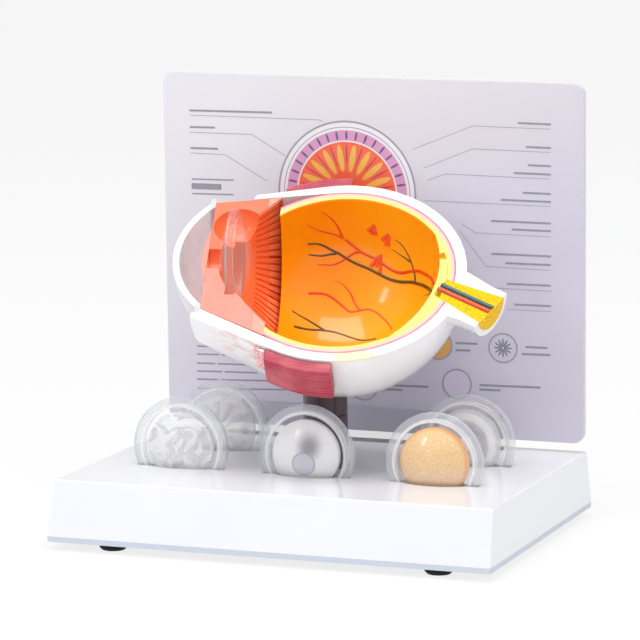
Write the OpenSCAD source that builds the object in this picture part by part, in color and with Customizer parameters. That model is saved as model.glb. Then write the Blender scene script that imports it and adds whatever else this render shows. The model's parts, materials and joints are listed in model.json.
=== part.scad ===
// Desk model of a sectioned eye: a globe cut open on a tilted plane, on a post over a base that
// also holds a printed card and five loose example lenses.
// Row frame: origin on the table under the middle of the base, +X right, +Y to the back, +Z up.
// Eye frame: origin at the globe's centre, +X from cornea to nerve, the cut face at z = 0.

/* [Base] */
// Width of the base at its bottom edge
base_w = 165; // [160:1:200]
// Depth of the base at its bottom edge
base_d = 127; // [124:1:160]
// Height of the base without its feet
base_h = 21.7; // [20:0.1:32]
// Wall of the base moulding
base_wall = 2.5; // [2:0.1:3.5]
// Lean of the front face, at the top edge
front_lean = 5.4; // [2:0.1:8]
// Lean of the back face, at the top edge
back_lean = 4.35; // [2:0.05:5]
// Draft of each side, at the top edge
side_draft = 0.75; // [0.4:0.05:3]
// Radius of the base's top edges
edge_r = 0.9; // [0.5:0.1:1.5]
// Thickness of the plate that closes the base
plate_t = 2; // [1.5:0.1:3]
// Diameter of a rubber foot
foot_d = 10; // [8:0.5:14]
// Height of a rubber foot below the plate
foot_h = 3; // [2:0.1:5]
// Distance of a foot's centre from the base's sides
foot_in_x = 21.5; // [12:0.5:30]
// Distance of a foot's centre from the base's front and back
foot_in_y = 9.5; // [8:0.5:14]
// Diameter of a plate screw
screw_d = 3; // [2.5:0.1:3.5]

/* [Post] */
// Diameter of the post
post_d = 17; // [14:0.5:18]
// Height of the post's foot ring above the base
post_foot_h = 2.2; // [1.5:0.1:4]
// Length of the spigot in the base
post_spigot = 15; // [10:0.5:16]
// Height of the joint between post and eye socket above the base
joint_h = 19; // [14:0.5:20]
// Diameter of the swivel pin
pin_d = 8; // [6:0.5:10]
// Length of the swivel pin
pin_len = 5; // [4:0.5:6]

/* [Card] */
// Width of the card
card_w = 164.4; // [150:0.1:180]
// Height of the card
card_h = 133.4; // [110:0.1:160]
// Thickness of the card
card_t = 3; // [2:0.1:3.4]
// Radius of the card's corners
card_corner = 4; // [2:0.5:10]
// Lean of the card towards the eye
card_lean = 2; // [0:0.5:2]
// Depth of the slot that the card stands in
slot_depth = 9.6; // [7:0.1:14]
// Length of the clear card holder
holder_len = 104; // [60:1:140]
// Wall of the card holder
holder_wall = 2.4; // [2:0.1:2.6]
// Floor of the card holder under the card
holder_floor = 3.75; // [2:0.05:6]
// Height of the holder's rear wall above its floor
holder_rear_h = 5.4; // [3:0.1:9]
// Distance from the card holder to the base's rear top edge
holder_in = 0.3; // [0.2:0.1:3]

/* [Lenses] */
// Radius of a lens flange
lens_r = 18; // [16:0.1:19]
// Thickness of a lens flange, both halves together
lens_flange = 3; // [2.4:0.1:3.6]
// Radius of the lens dome at the flange
lens_dome_r = 13.8; // [12:0.1:15]
// Height of a shallow dome above the flange
dome_low = 3.9; // [3:0.1:5]
// Height of a full dome above the flange
dome_high = 5.2; // [4:0.1:6]
// Wall of a lens shell
lens_wall = 1.2; // [0.8:0.1:1.2]
// Height of a standing lens's centre above the base
lens_up = 7.6; // [6:0.1:10]
// Distance of the outer lenses from the middle
lens_dx = 48.3; // [44:0.1:52]
// Distance of the lens rows from the middle
lens_dy = 20; // [17:0.1:23]

/* [Globe] */
// Outer radius of the globe
globe_r = 45.4; // [43:0.1:46.5]
// Wall of the white outer coat
sclera_t = 3.8; // [3:0.1:5]
// Wall of the pink middle coat
choroid_t = 1.9; // [1:0.1:2.4]
// Wall of the yellow inner coat
retina_t = 1.5; // [1:0.1:2.4]
// Place of the globe's centre to the right of the post
globe_x = 6.3; // [2:0.1:8]
// Place of the globe's centre in front of the post
globe_front = 0.6; // [0:0.1:3]
// Gap between the top of the eye socket's bore and the globe
socket_top = 2.6; // [2:0.1:4]
// Turn of the eye about the post
eye_yaw = 13.4; // [5:0.1:20]
// Tilt of the cut face towards the front
eye_tilt = 36.5; // [30:0.5:42]
// Distance from the globe's centre to the front edge of the inner coats
ora_x = 25; // [23:0.1:27]

/* [Front of the eye] */
// Sideways shift of the cornea from the globe's axis
front_shift = 7.5; // [4:0.1:9]
// Distance from the globe's centre to the cornea's flange
flange_x = 49.2; // [47:0.1:50]
// Radius of the cornea's flange
flange_r = 29.5; // [28:0.1:30]
// Thickness of the cornea's flange
flange_t = 1.8; // [1.2:0.1:2.4]
// Outer radius of the cornea's dome at its flange
cornea_r = 27; // [25:0.1:27.6]
// Height of the cornea's dome above its flange
cornea_rise = 11; // [9:0.1:14]
// Wall of the cornea
cornea_t = 2.4; // [1.6:0.1:3]
// Forward reach of the white coat's lip on the near side
lip_near = 52.5; // [51:0.1:54]
// Forward reach of the white coat's lip on the far side
lip_far = 34.5; // [33:0.1:38]
// Radius of the white coat's lip
lip_r = 32; // [31.5:0.1:34]
// Distance from the globe's centre to the eye lens
eye_lens_x = 39.4; // [38.6:0.1:40]
// Sideways shift of the eye lens
eye_lens_shift = 5.6; // [4:0.1:7]
// Radius of the pupil
pupil_r = 5; // [3:0.1:8]
// Number of grooves round the ciliary body
groove_count = 34; // [12:1:48]
// Width of a groove
groove_w = 0.7; // [0.4:0.1:1]
// Depth of a groove
groove_depth = 0.8; // [0.4:0.1:1.2]

/* [Nerve and muscles] */
// Turn of the optic nerve from the globe's axis
nerve_angle = 31; // [24:0.5:33]
// Sideways shift of the nerve where it leaves the bowl
nerve_shift = 8; // [6:0.1:9]
// Distance from the bowl's wall to the nerve's cut end
nerve_len = 20.6; // [18:0.1:24]
// Radius of the yellow core at the bowl
core_r = 4.6; // [3.5:0.1:5]
// Radius of the yellow core at its end
core_end_r = 7.6; // [6:0.1:8]
// Wall of the white sheath round the core
sheath_t = 2.4; // [1.6:0.1:3]
// Radius of the artery and the vein
vessel_r = 0.9; // [0.6:0.1:1.2]
// Thickness of an eye muscle
muscle_t = 5; // [3:0.1:5.4]
// Length of an eye muscle along the globe
muscle_len = 24.6; // [18:0.1:26]
// Spread of a muscle round the globe, below the cut face
muscle_spread = 18.6; // [12:0.1:22]
// Start of a muscle below the cut face
muscle_start = 2; // [1:0.1:5]
// Thickness of a muscle's tendon
tendon_t = 1.4; // [0.8:0.1:2]
// Length of a muscle's tendon
tendon_len = 4.2; // [3:0.1:4.6]

/* [Clearances] */
// Gap between a lens and its pocket
lens_gap = 0.35; // [0.3:0.05:0.5]
// Gap between the card and its slot on each face
card_gap = 0.3; // [0.25:0.05:0.4]
// Radial running clearance of pins and spigots
run_gap = 0.05; // [0.02:0.01:0.08]
// Gap between pieces that are bonded together
bond_gap = 0.03; // [0.02:0.01:0.05]

/* [Hidden] */
$fn = 96;
eps = 0.01;
big = 400;
hull_fn = 48;
coarse_fn = 32;

base_z = foot_h;
base_top = base_z + base_h;
shell_z = base_z + plate_t;
half_w = base_w / 2;
half_d = base_d / 2;

// Height of the standing lenses' centres
lens_z = base_top + lens_up;
// Standing lenses: x, y, rise of the dome that faces the front, rise of the rear dome
LENSES = [
    [-lens_dx, -lens_dy, dome_low, dome_low],
    [-lens_dx + 1, lens_dy, dome_high, dome_low],
    [0, -lens_dy, dome_high, dome_low],
    [lens_dx, -lens_dy, dome_high, dome_high],
    [lens_dx - 0.5, lens_dy, dome_high, dome_low]
];
cup_wall = 1.6;
insert_gap = 0.3;
swivel_gap = 0.3;
seat_gap = 0.25;
// A coarse ball is drawn this much larger, so that its flats still clear the globe
coarse_gap = seat_gap + globe_r / cos(180 / coarse_fn) - globe_r;

card_z = base_top + holder_floor;
holder_back = half_d - back_lean - holder_in;
card_y = holder_back - holder_wall - card_gap - card_t;
holder_front = card_y - card_gap - holder_wall;
// The leaning card stands on its front lower edge
card_lift = card_t / 2 * sin(card_lean) + slot_depth / 2 * (1 - cos(card_lean)) + 0.02;

globe_pos = [globe_x, -globe_front, 0];
choroid_r = globe_r - sclera_t;
retina_r = choroid_r - choroid_t;
bowl_r = retina_r - retina_t;
// The socket's concave top meets the globe's underside over the post's axis
globe_drop = sqrt(globe_r * globe_r - globe_x * globe_x - globe_front * globe_front);
joint_z = base_top + joint_h;
globe_z = joint_z + pin_len + socket_top + globe_drop;

screw_in_x = 10;
screw_in_y = 19;
boss_r = screw_d / 2 + 2.4;
screw_len = 8;
screw_head_w = 2.6;
screw_head_h = 1;

nerve_start = [sqrt(bowl_r * bowl_r - nerve_shift * nerve_shift), -nerve_shift, 0];
disc_t = 0.8;
core_in = 0.6;
flare_w = 5;
flare_len = 14;
core_out = 0.4;
vessel_apart = vessel_r + 0.2;
sheath_r = core_r + sheath_t;
sheath_end_r = core_end_r + sheath_t;

flange_front = -flange_x - flange_t;
lens_mid = -eye_lens_x;
seat_back = lens_mid + lens_flange / 2 + lens_gap;
hood_r = 9.5;
hood_out = lens_r - 1;
iris_back = -ora_x - 4.6;

// An outline's corner replaced by an arc: corner, direction in, direction out, radius
function unit(v) = v / norm(v);
function round_corner(a, b, c, r, n = 8) =
    let (
        u = unit(a - b),
        v = unit(c - b),
        half = acos(u * v) / 2,
        mid = b + unit(u + v) * r / sin(half),
        p = b + u * r / tan(half),
        q = b + v * r / tan(half),
        a0 = atan2(p[1] - mid[1], p[0] - mid[0]),
        a1 = atan2(q[1] - mid[1], q[0] - mid[0]),
        turn = a1 - a0 > 180 ? a1 - a0 - 360 : a1 - a0 < -180 ? a1 - a0 + 360 : a1 - a0
    )
    [for (i = [0 : n]) mid + r * [cos(a0 + turn * i / n), sin(a0 + turn * i / n)]];

// Side outline of the base with the inset of a wall; the top corners are rounded
function base_outline(low, high, lean_low, lean_high, z0, z1, r) = concat(
    [[low, z0]],
    round_corner([low, z0], [low + lean_low, z1], [high - lean_high, z1], r),
    round_corner([low + lean_low, z1], [high - lean_high, z1], [high, z0], r),
    [[high, z0]]
);

// Drafted block of the base; wall is the inset from the outside
module base_block(wall = 0) {
    r = max(edge_r - wall, 0.3);
    z0 = wall > 0 ? shell_z - eps : shell_z;
    z1 = base_top - wall;
    intersection() {
        rotate([90, 0, 90])
            linear_extrude(base_w + 2, center = true)
            polygon(base_outline(-half_d + wall, half_d - wall, front_lean, back_lean, z0, z1, r));
        translate([0, base_d, 0])
            rotate([90, 0, 0])
            linear_extrude(2 * base_d)
            polygon(base_outline(-half_w + wall, half_w - wall, side_draft, side_draft, z0, z1, r));
    }
}

// Lens outline in the revolve plane: x is the radius, y the distance along the lens axis
function cap_r(rise) = (lens_dome_r * lens_dome_r + rise * rise) / (2 * rise);

module dome_outline(rise, grow = 0) {
    r = cap_r(rise);
    intersection() {
        translate([0, lens_flange / 2 + rise - r]) circle(r + grow);
        square([lens_r, rise + lens_flange / 2 + grow + 1]);
    }
}

// Half of a closed lens towards +y, grown all round by a gap
module lens_half_outline(rise, grow = 0) {
    dome_outline(rise, grow);
    square([lens_r + grow, lens_flange / 2 + grow]);
}

module lens_shell_outline(rise) {
    difference() {
        lens_half_outline(rise);
        translate([0, -lens_wall]) intersection() {
            dome_outline(rise);
            square([lens_dome_r - lens_wall, big]);
        }
    }
}

module lens_core_outline(rise) {
    translate([0, -lens_wall - bond_gap]) intersection() {
        dome_outline(rise);
        translate([0, lens_wall + bond_gap])
            square([lens_dome_r - lens_wall - bond_gap, big]);
    }
}

// Revolve round the Y axis, +y of the outline pointing to the front (-Y)
module to_front() { rotate([90, 0, 0]) rotate_extrude() children(); }
module to_rear() { rotate([-90, 0, 0]) rotate_extrude() children(); }

module lens_grown(front_rise, rear_rise, grow) {
    to_front() lens_half_outline(front_rise, grow);
    to_rear() lens_half_outline(rear_rise, grow);
}

module lens_part(part, front_rise, rear_rise) {
    if (part == "front") to_front() lens_shell_outline(front_rise);
    if (part == "rear") to_rear() lens_shell_outline(rear_rise);
    if (part == "core") {
        to_front() lens_core_outline(front_rise);
        to_rear() lens_core_outline(rear_rise);
    }
}

module standing_lens(i, part) {
    translate([LENSES[i][0], LENSES[i][1], lens_z])
        lens_part(part, LENSES[i][2], LENSES[i][3]);
}

module screw_places() {
    for (sx = [-1, 1], sy = [-1, 1])
        translate([sx * (half_w - screw_in_x), sy * (half_d - screw_in_y), 0]) children();
}

module base_shell() {
    boss_h = base_h - plate_t - base_wall / 2;
    color("whitesmoke") difference() {
        union() {
            difference() {
                base_block();
                base_block(base_wall);
            }
            intersection() {
                for (l = LENSES)
                    translate([l[0], l[1], lens_z]) lens_grown(l[2], l[3], lens_gap + cup_wall);
                translate([-half_w + 5, -half_d + 5, shell_z])
                    cube([base_w - 10, base_d - 10, base_h - plate_t - base_wall / 2]);
            }
            translate([0, 0, shell_z])
                cylinder(d = post_d + 2, h = boss_h);
            screw_places() translate([0, 0, shell_z]) cylinder(r = boss_r, h = boss_h);
        }
        for (l = LENSES)
            translate([l[0], l[1], lens_z]) lens_grown(l[2], l[3], lens_gap);
        translate([0, 0, base_top - post_spigot - 0.5])
            cylinder(d = post_d - 5 + 2 * run_gap, h = post_spigot + 1);
        screw_places() translate([0, 0, shell_z - eps])
            cylinder(r = screw_d / 2 + run_gap, h = screw_len + 1);
    }
}

module base_plate() {
    color("lightsteelblue") difference() {
        translate([-half_w, -half_d, base_z]) cube([base_w, base_d, plate_t]);
        screw_places() translate([0, 0, base_z - eps]) {
            cylinder(d = screw_d + 2 * run_gap, h = plate_t + 1);
            cylinder(d = screw_d + screw_head_w + 0.4, h = screw_head_h + eps);
        }
    }
}

module plate_screws() {
    color("silver") screw_places() {
        translate([0, 0, base_z]) cylinder(d = screw_d, h = plate_t + screw_len);
        translate([0, 0, base_z]) difference() {
            cylinder(d = screw_d + screw_head_w, h = screw_head_h);
            translate([-screw_d, -0.35, -eps]) cube([2 * screw_d, 0.7, 0.5]);
        }
    }
}

module foot(sx, sy) {
    color("black") translate([sx * (half_w - foot_in_x), sy * (half_d - foot_in_y), 0])
        rotate_extrude() polygon([
            [0, 0],
            [foot_d / 2 - 0.9, 0],
            [foot_d / 2, 0.9],
            [foot_d / 2, foot_h],
            [0, foot_h]
        ]);
}
module foot_front_left() { foot(-1, -1); }
module foot_front_right() { foot(1, -1); }
module foot_rear_left() { foot(-1, 1); }
module foot_rear_right() { foot(1, 1); }

module card_holder() {
    front_h = holder_floor + slot_depth;
    depth = holder_back - holder_front;
    color("azure", 0.5) translate([-holder_len / 2, holder_front, base_top]) {
        cube([holder_len, holder_wall, front_h]);
        cube([holder_len, depth, holder_floor]);
        translate([0, depth - holder_wall, 0])
            cube([holder_len, holder_wall, holder_floor + holder_rear_h]);
    }
}

module card() {
    w = card_w / 2;
    h = card_h;
    c = card_corner;
    // It leans inside the slot about the slot's mid height
    color("lavender") translate([0, card_y + card_t / 2, card_z + slot_depth / 2])
        rotate([card_lean, 0, 0])
        translate([0, card_t / 2, card_lift - slot_depth / 2])
        rotate([90, 0, 0]) linear_extrude(card_t) polygon(concat(
            round_corner([-w, h], [-w, 0], [w, 0], c),
            round_corner([-w, 0], [w, 0], [w, h], c),
            round_corner([w, 0], [w, h], [-w, h], c),
            round_corner([w, h], [-w, h], [-w, 0], c)
        ));
}

module post() {
    color([0.2, 0.1, 0.12]) {
        translate([0, 0, base_top - post_spigot])
            cylinder(d = post_d - 5, h = post_spigot + 1);
        translate([0, 0, base_top])
            cylinder(d1 = post_d + 0.8, d2 = post_d, h = post_foot_h);
        translate([0, 0, base_top + post_foot_h - eps])
            cylinder(d1 = post_d, d2 = post_d - 0.8, h = joint_h - post_foot_h + eps);
        translate([0, 0, joint_z - eps]) cylinder(d = pin_d, h = pin_len);
    }
}

module eye_socket() {
    color([0.2, 0.1, 0.12]) difference() {
        translate([0, 0, joint_z + swivel_gap])
            cylinder(d1 = post_d - 0.8, d2 = post_d - 1.2, h = globe_z - joint_z - globe_r / 2);
        translate([0, 0, joint_z - eps])
            cylinder(d = pin_d + 2 * run_gap, h = pin_len + 0.5);
        translate(globe_pos + [0, 0, globe_z]) sphere(globe_r + bond_gap);
    }
}

// Place children given in the eye frame
module eye() {
    translate(globe_pos + [0, 0, globe_z]) rotate([eye_tilt, 0, eye_yaw]) children();
}

// Half revolve below the cut face round the eye's X axis: outline x is the radius, y runs along X
module below_cut() {
    rotate([0, 90, 0]) rotate([0, 0, -90]) rotate_extrude(angle = 180) children();
}

module half_shell(outer, inner, front) {
    below_cut() intersection() {
        difference() {
            circle(outer);
            circle(inner);
        }
        translate([0, -front]) square([outer + 1, outer + front + 1]);
    }
}

// Keeps only what lies below the cut face
module keep_below() {
    intersection() {
        children();
        translate([-big / 2, -big / 2, -big]) cube([big, big, big]);
    }
}

// Globe drawn out to a leaning lip disc, grown by a gap or a layer
module drawn_globe(grow = 0, fn = hull_fn) {
    lean = atan2(lip_near - lip_far, 2 * lip_r);
    hull() {
        sphere(globe_r + grow, $fn = fn);
        translate([-(lip_near + lip_far) / 2, front_shift, 0])
            rotate([0, 0, -lean])
            rotate([0, 90, 0])
            cylinder(r = lip_r / cos(lean) + grow, h = 0.4, $fn = fn);
    }
}

// Along the optic nerve: x grows from the bowl's wall to the nerve's end
module along_nerve() {
    translate(nerve_start) rotate([0, 0, -nerve_angle]) rotate([0, 90, 0]) children();
}

module nerve_cone(grow) {
    translate([0, 0, -6]) cylinder(r = core_r + grow, h = 6 + eps);
    cylinder(r1 = core_r + grow, r2 = core_end_r + grow, h = nerve_len + core_out);
}

// Inner room of the white coat: the front insert and the two inner coats fill it
module insert_room(grow = 0, fn = hull_fn) {
    hull() {
        sphere(choroid_r + grow, $fn = fn);
        translate([-flange_x, front_shift, 0]) rotate([0, 90, 0])
            cylinder(r = flange_r - 1.7 + grow, h = 0.4, $fn = fn);
    }
}

module sclera() {
    color("white") eye() difference() {
        keep_below() union() {
            drawn_globe();
            along_nerve() {
                cylinder(r1 = sheath_r + flare_w, r2 = sheath_end_r, h = flare_len);
                translate([0, 0, flare_len - 1])
                    cylinder(r = sheath_end_r, h = nerve_len - flare_len + 1);
            }
        }
        insert_room();
        translate([flange_front - 8, front_shift, 0]) rotate([0, 90, 0])
            cylinder(r = flange_r + bond_gap, h = 8 + flange_t);
        along_nerve() nerve_cone(bond_gap);
    }
}

module choroid() {
    color("pink") eye() difference() {
        half_shell(choroid_r - 0.2, retina_r + bond_gap, ora_x);
        along_nerve() nerve_cone(bond_gap);
    }
}

module retina() {
    color("gold") eye() difference() {
        half_shell(retina_r, bowl_r, ora_x);
        along_nerve() nerve_cone(bond_gap);
    }
}

// Pupil: an opening in the front wall, on the eye lens's axis
module pupil() {
    translate([-flange_x - 1, eye_lens_shift, 0]) rotate([0, 90, 0])
        cylinder(r = pupil_r, h = flange_x + 1 + lens_mid);
}

// Room for the eye lens: the closed lens grown by its gap, opened upwards through the cut face
module eye_lens_room() {
    translate([lens_mid, eye_lens_shift, 0]) rotate([0, 0, -90])
        lens_grown(dome_low, dome_high, lens_gap);
}

// Cone of the ciliary body behind the lens, from the lens edge to the inner coats
module ciliary_cone(grow = 0) {
    translate([seat_back, eye_lens_shift, 0]) rotate([0, 90, 0])
        cylinder(r1 = lens_r + lens_gap - 1.4 + grow, r2 = bowl_r - 6 + grow, h = -ora_x - seat_back);
}

module ciliary_body() {
    color("orangered") eye() keep_below() difference() {
        intersection() {
            insert_room(-insert_gap, coarse_fn);
            translate([iris_back, -big / 2, -big / 2]) cube([-ora_x - bond_gap - iris_back, big, big]);
        }
        ciliary_cone();
        ciliary_grooves();
    }
}

// Radial grooves, sunk into the cone
module ciliary_grooves() {
    span = -ora_x - seat_back;
    r1 = lens_r + lens_gap - 1.4;
    r2 = bowl_r - 6;
    translate([seat_back, eye_lens_shift, 0])
        for (i = [0 : groove_count])
            rotate([-180 - 180 * i / groove_count + 90, 0, 0])
            translate([0, -groove_w / 2, 0])
            rotate([90, 0, 0]) mirror([0, 0, 1])
            linear_extrude(groove_w)
            polygon([
                [span * 0.18, r1],
                [span * 0.3, r1 + (r2 - r1) * 0.3 + groove_depth],
                [span * 0.92, r1 + (r2 - r1) * 0.92 + groove_depth],
                [span, r2],
                [span, r1]
            ]);
}

module iris_body() {
    color("salmon") eye() keep_below() difference() {
        intersection() {
            insert_room(-insert_gap, coarse_fn);
            translate([-flange_x + bond_gap, -big / 2, -big / 2])
                cube([iris_back - bond_gap + flange_x - bond_gap, big, big]);
        }
        ciliary_cone();
        ciliary_grooves();
        eye_lens_room();
        pupil();
        // Hollow on the far side, in front of the ciliary body
        translate([lens_mid, eye_lens_shift + hood_out, hood_r / 5]) sphere(hood_r);
    }
}

module cornea() {
    sphere_r = (cornea_r * cornea_r + cornea_rise * cornea_rise) / (2 * cornea_rise);
    color("azure", 0.4) eye() translate([-flange_x, front_shift, 0])
        below_cut() mirror([0, 1]) difference() {
            union() {
                square([flange_r, flange_t]);
                intersection() {
                    translate([0, flange_t + cornea_rise - sphere_r]) circle(sphere_r);
                    square([cornea_r, big]);
                }
            }
            intersection() {
                translate([0, flange_t + cornea_rise - sphere_r]) circle(sphere_r - cornea_t);
                translate([0, -eps]) square([cornea_r - cornea_t, big]);
            }
        }
}

module optic_disc() {
    color("khaki") eye() keep_below() difference() {
        along_nerve() translate([0, 0, -disc_t - core_in])
            cylinder(r1 = core_r - disc_t, r2 = core_r, h = disc_t);
        vessel_path(vessel_apart, bond_gap);
        vessel_path(-vessel_apart, bond_gap);
    }
}

module nerve_core() {
    color("gold") eye() keep_below() difference() {
        along_nerve() {
            translate([0, 0, -core_in]) cylinder(r = core_r, h = core_in + eps);
            cylinder(r1 = core_r, r2 = core_end_r, h = nerve_len + core_out);
        }
        vessel_path(vessel_apart, bond_gap);
        vessel_path(-vessel_apart, bond_gap);
    }
}

// A vessel lies half sunk in the core's cut face, from the optic disc to the nerve's end
module vessel_path(side, grow = 0) {
    along_nerve() translate([0, side, -disc_t - core_in])
        cylinder(r = vessel_r + grow, h = nerve_len + disc_t + core_in);
}

module nerve_artery() { color("orangered") eye() vessel_path(-vessel_apart); }
module nerve_vein() { color("teal") eye() vessel_path(vessel_apart); }

// Strip round the eye's X axis, side 1 far and -1 near, from one distance out to another
module muscle_strip(side, low, high, x0, x1, start, spread) {
    mirror([0, side > 0 ? 0 : 1, 0])
        rotate([-start, 0, 0])
        rotate([0, 90, 0])
        rotate([0, 0, 90 - spread])
        rotate_extrude(angle = spread)
        intersection() {
            difference() {
                circle(high);
                circle(low);
            }
            translate([0, x0]) square([big, x1 - x0]);
        }
}

module muscle(side) {
    color("indianred") eye() difference() {
        muscle_strip(side, globe_r + bond_gap, globe_r + muscle_t,
            -muscle_len + 2, 2, muscle_start, muscle_spread);
        drawn_globe(coarse_gap, coarse_fn);
    }
}
module near_muscle() { muscle(-1); }
module far_muscle() { muscle(1); }

// Thin layer over the drawn-out front of the globe, in front of the muscle
module tendon(side) {
    x1 = -muscle_len + 2 - bond_gap;
    color("lightcoral") eye() difference() {
        intersection() {
            drawn_globe(coarse_gap + tendon_t, coarse_fn);
            muscle_strip(side, globe_r / 2, 1.4 * globe_r,
                x1 - tendon_len, x1, muscle_start + 1, muscle_spread - 2);
        }
        drawn_globe(coarse_gap, coarse_fn);
    }
}
module near_tendon() { tendon(-1); }
module far_tendon() { tendon(1); }

module eye_lens(part) {
    eye() translate([lens_mid, eye_lens_shift, 0]) rotate([0, 0, -90])
        lens_part(part, dome_low, dome_high);
}
module eye_lens_front() { color("azure", 0.4) eye_lens("front"); }
module eye_lens_rear() { color("azure", 0.4) eye_lens("rear"); }
module eye_lens_core() { color("moccasin", 0.6) eye_lens("core"); }

module lens_a_front() { color("azure", 0.4) standing_lens(0, "front"); }
module lens_a_rear() { color("azure", 0.4) standing_lens(0, "rear"); }
module lens_a_core() { color("gainsboro") standing_lens(0, "core"); }
module lens_b_front() { color("azure", 0.4) standing_lens(1, "front"); }
module lens_b_rear() { color("azure", 0.4) standing_lens(1, "rear"); }
module lens_b_core() { color("lightgray") standing_lens(1, "core"); }
module lens_c_front() { color("azure", 0.4) standing_lens(2, "front"); }
module lens_c_rear() { color("azure", 0.4) standing_lens(2, "rear"); }
module lens_c_core() { color("silver") standing_lens(2, "core"); }
module lens_d_front() { color("azure", 0.4) standing_lens(3, "front"); }
module lens_d_rear() { color("azure", 0.4) standing_lens(3, "rear"); }
module lens_d_core() { color("sandybrown") standing_lens(3, "core"); }
module lens_e_front() { color("azure", 0.4) standing_lens(4, "front"); }
module lens_e_rear() { color("azure", 0.4) standing_lens(4, "rear"); }
module lens_e_core() { color("whitesmoke") standing_lens(4, "core"); }

base_shell();
base_plate();
plate_screws();
foot_front_left();
foot_front_right();
foot_rear_left();
foot_rear_right();
card_holder();
card();
post();
eye_socket();
sclera();
choroid();
retina();
ciliary_body();
iris_body();
cornea();
optic_disc();
nerve_core();
nerve_artery();
nerve_vein();
near_muscle();
near_tendon();
far_muscle();
far_tendon();
eye_lens_front();
eye_lens_rear();
eye_lens_core();
lens_a_front();
lens_a_rear();
lens_a_core();
lens_b_front();
lens_b_rear();
lens_b_core();
lens_c_front();
lens_c_rear();
lens_c_core();
lens_d_front();
lens_d_rear();
lens_d_core();
lens_e_front();
lens_e_rear();
lens_e_core();
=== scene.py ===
# %% [markdown]
# # A sectioned eye on its stand
#
# A desk model from a classroom: a globe cut open on a tilted plane, on a post over a white base,
# with five loose lenses and a printed card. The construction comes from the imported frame. This
# script gives every piece its finish and models what the frame leaves plain: muscle fibres,
# painted vessels, the shells of the lenses and the print on the card.
# %% Load the frame
import json
import math

import bpy
from mathutils import Matrix, Vector


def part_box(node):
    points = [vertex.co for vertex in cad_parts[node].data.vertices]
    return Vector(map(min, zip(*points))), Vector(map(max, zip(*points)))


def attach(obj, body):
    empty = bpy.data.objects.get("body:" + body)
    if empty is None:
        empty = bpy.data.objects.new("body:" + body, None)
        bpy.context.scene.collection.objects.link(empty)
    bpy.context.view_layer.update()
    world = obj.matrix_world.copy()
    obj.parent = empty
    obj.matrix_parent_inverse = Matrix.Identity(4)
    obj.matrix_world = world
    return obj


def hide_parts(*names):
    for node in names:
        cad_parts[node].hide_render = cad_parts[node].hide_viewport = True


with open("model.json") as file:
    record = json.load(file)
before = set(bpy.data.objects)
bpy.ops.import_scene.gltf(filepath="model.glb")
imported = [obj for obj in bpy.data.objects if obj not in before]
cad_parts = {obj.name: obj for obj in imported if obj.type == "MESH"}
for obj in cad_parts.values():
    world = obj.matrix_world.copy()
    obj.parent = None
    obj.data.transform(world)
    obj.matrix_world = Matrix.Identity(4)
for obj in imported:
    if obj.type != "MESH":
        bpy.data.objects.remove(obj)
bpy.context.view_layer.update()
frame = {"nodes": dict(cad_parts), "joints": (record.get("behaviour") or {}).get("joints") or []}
NODES = frame["nodes"]
JOINTS = {joint["name"]: joint for joint in frame["joints"]}
MM, PER_MM = 0.001, 1000
print("pieces in the frame:", len(NODES))

# %% [markdown]
# The eye has its own frame: +X runs from the cornea to the nerve and the cut face is z = 0. Its
# turn and tilt are read from the axis that the eye lens slides along, which is square to the cut.
# The cornea and the cone of ridges behind the lens lie beside its axis, so both get a frame of
# their own. One matrix then carries a piece into place.
# %% The eye's own frame
CUT = Vector(JOINTS["eye_lens_lift"]["axis"]).normalized()
YAW = math.atan2(CUT.x, -CUT.y)
TILT = math.acos(CUT.z)
PIN_LEN, SOCKET_TOP = 5 * MM, 2.6 * MM
GLOBE_R, BOWL_R = 45.4 * MM, 38.2 * MM
GLOBE_X, GLOBE_FRONT = 6.3 * MM, 0.6 * MM
globe_drop = math.sqrt(GLOBE_R**2 - GLOBE_X**2 - GLOBE_FRONT**2)
joint_z = JOINTS["eye_swivel"]["pos_m"][2]
GLOBE = Vector((GLOBE_X, -GLOBE_FRONT, joint_z + PIN_LEN + SOCKET_TOP + globe_drop))
EYE = Matrix.Translation(GLOBE) @ Matrix.Rotation(YAW, 4, "Z") @ Matrix.Rotation(TILT, 4, "X")
FLANGE_X, FRONT_SHIFT = 49.2 * MM, 7.5 * MM
PASSAGE_X, PASSAGE_SHIFT, PASSAGE_SLOPE = 51.5 * MM, 5.6 * MM, 1.215
FRONT = EYE @ Matrix.Translation((-FLANGE_X, FRONT_SHIFT, 0))
PASSAGE = EYE @ Matrix.Translation((-PASSAGE_X, PASSAGE_SHIFT, 0))
MOUND_R, MOUND_UP, MOUND_ANGLE = 50 * MM, 3.4 * MM, math.radians(14)
MOUND_WAY = Vector((math.cos(MOUND_ANGLE), -math.sin(MOUND_ANGLE), 0))
MOUND = EYE @ (MOUND_WAY * (BOWL_R - MOUND_UP - MOUND_R))
print("turn %.1f, tilt %.1f degrees, centre" % (math.degrees(YAW), math.degrees(TILT)), GLOBE)

# %% [markdown]
# The camera stands where the photographer stood. Its place was worked out from the corners of
# the base and the card, so that what lies in the photograph at a pixel can be found again on the
# model by casting a ray through that pixel.
# %% Camera
PICTURE = 640
FOCAL_PX = 3948.5
CAMERA_AT = Vector((473.37, -1330.65, 288.59)) * MM
TARGET = Vector((-2.05, 0, 77.99)) * MM

camera_data = bpy.data.cameras.new("camera")
camera_data.sensor_width = 36
camera_data.lens = FOCAL_PX / PICTURE * camera_data.sensor_width
camera = bpy.data.objects.new("camera", camera_data)
bpy.context.scene.collection.objects.link(camera)
camera.location = CAMERA_AT
camera.rotation_euler = (TARGET - CAMERA_AT).to_track_quat("-Z", "Y").to_euler()
bpy.context.scene.camera = camera
LOOK = (TARGET - CAMERA_AT).to_track_quat("-Z", "Y").to_matrix()


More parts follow.
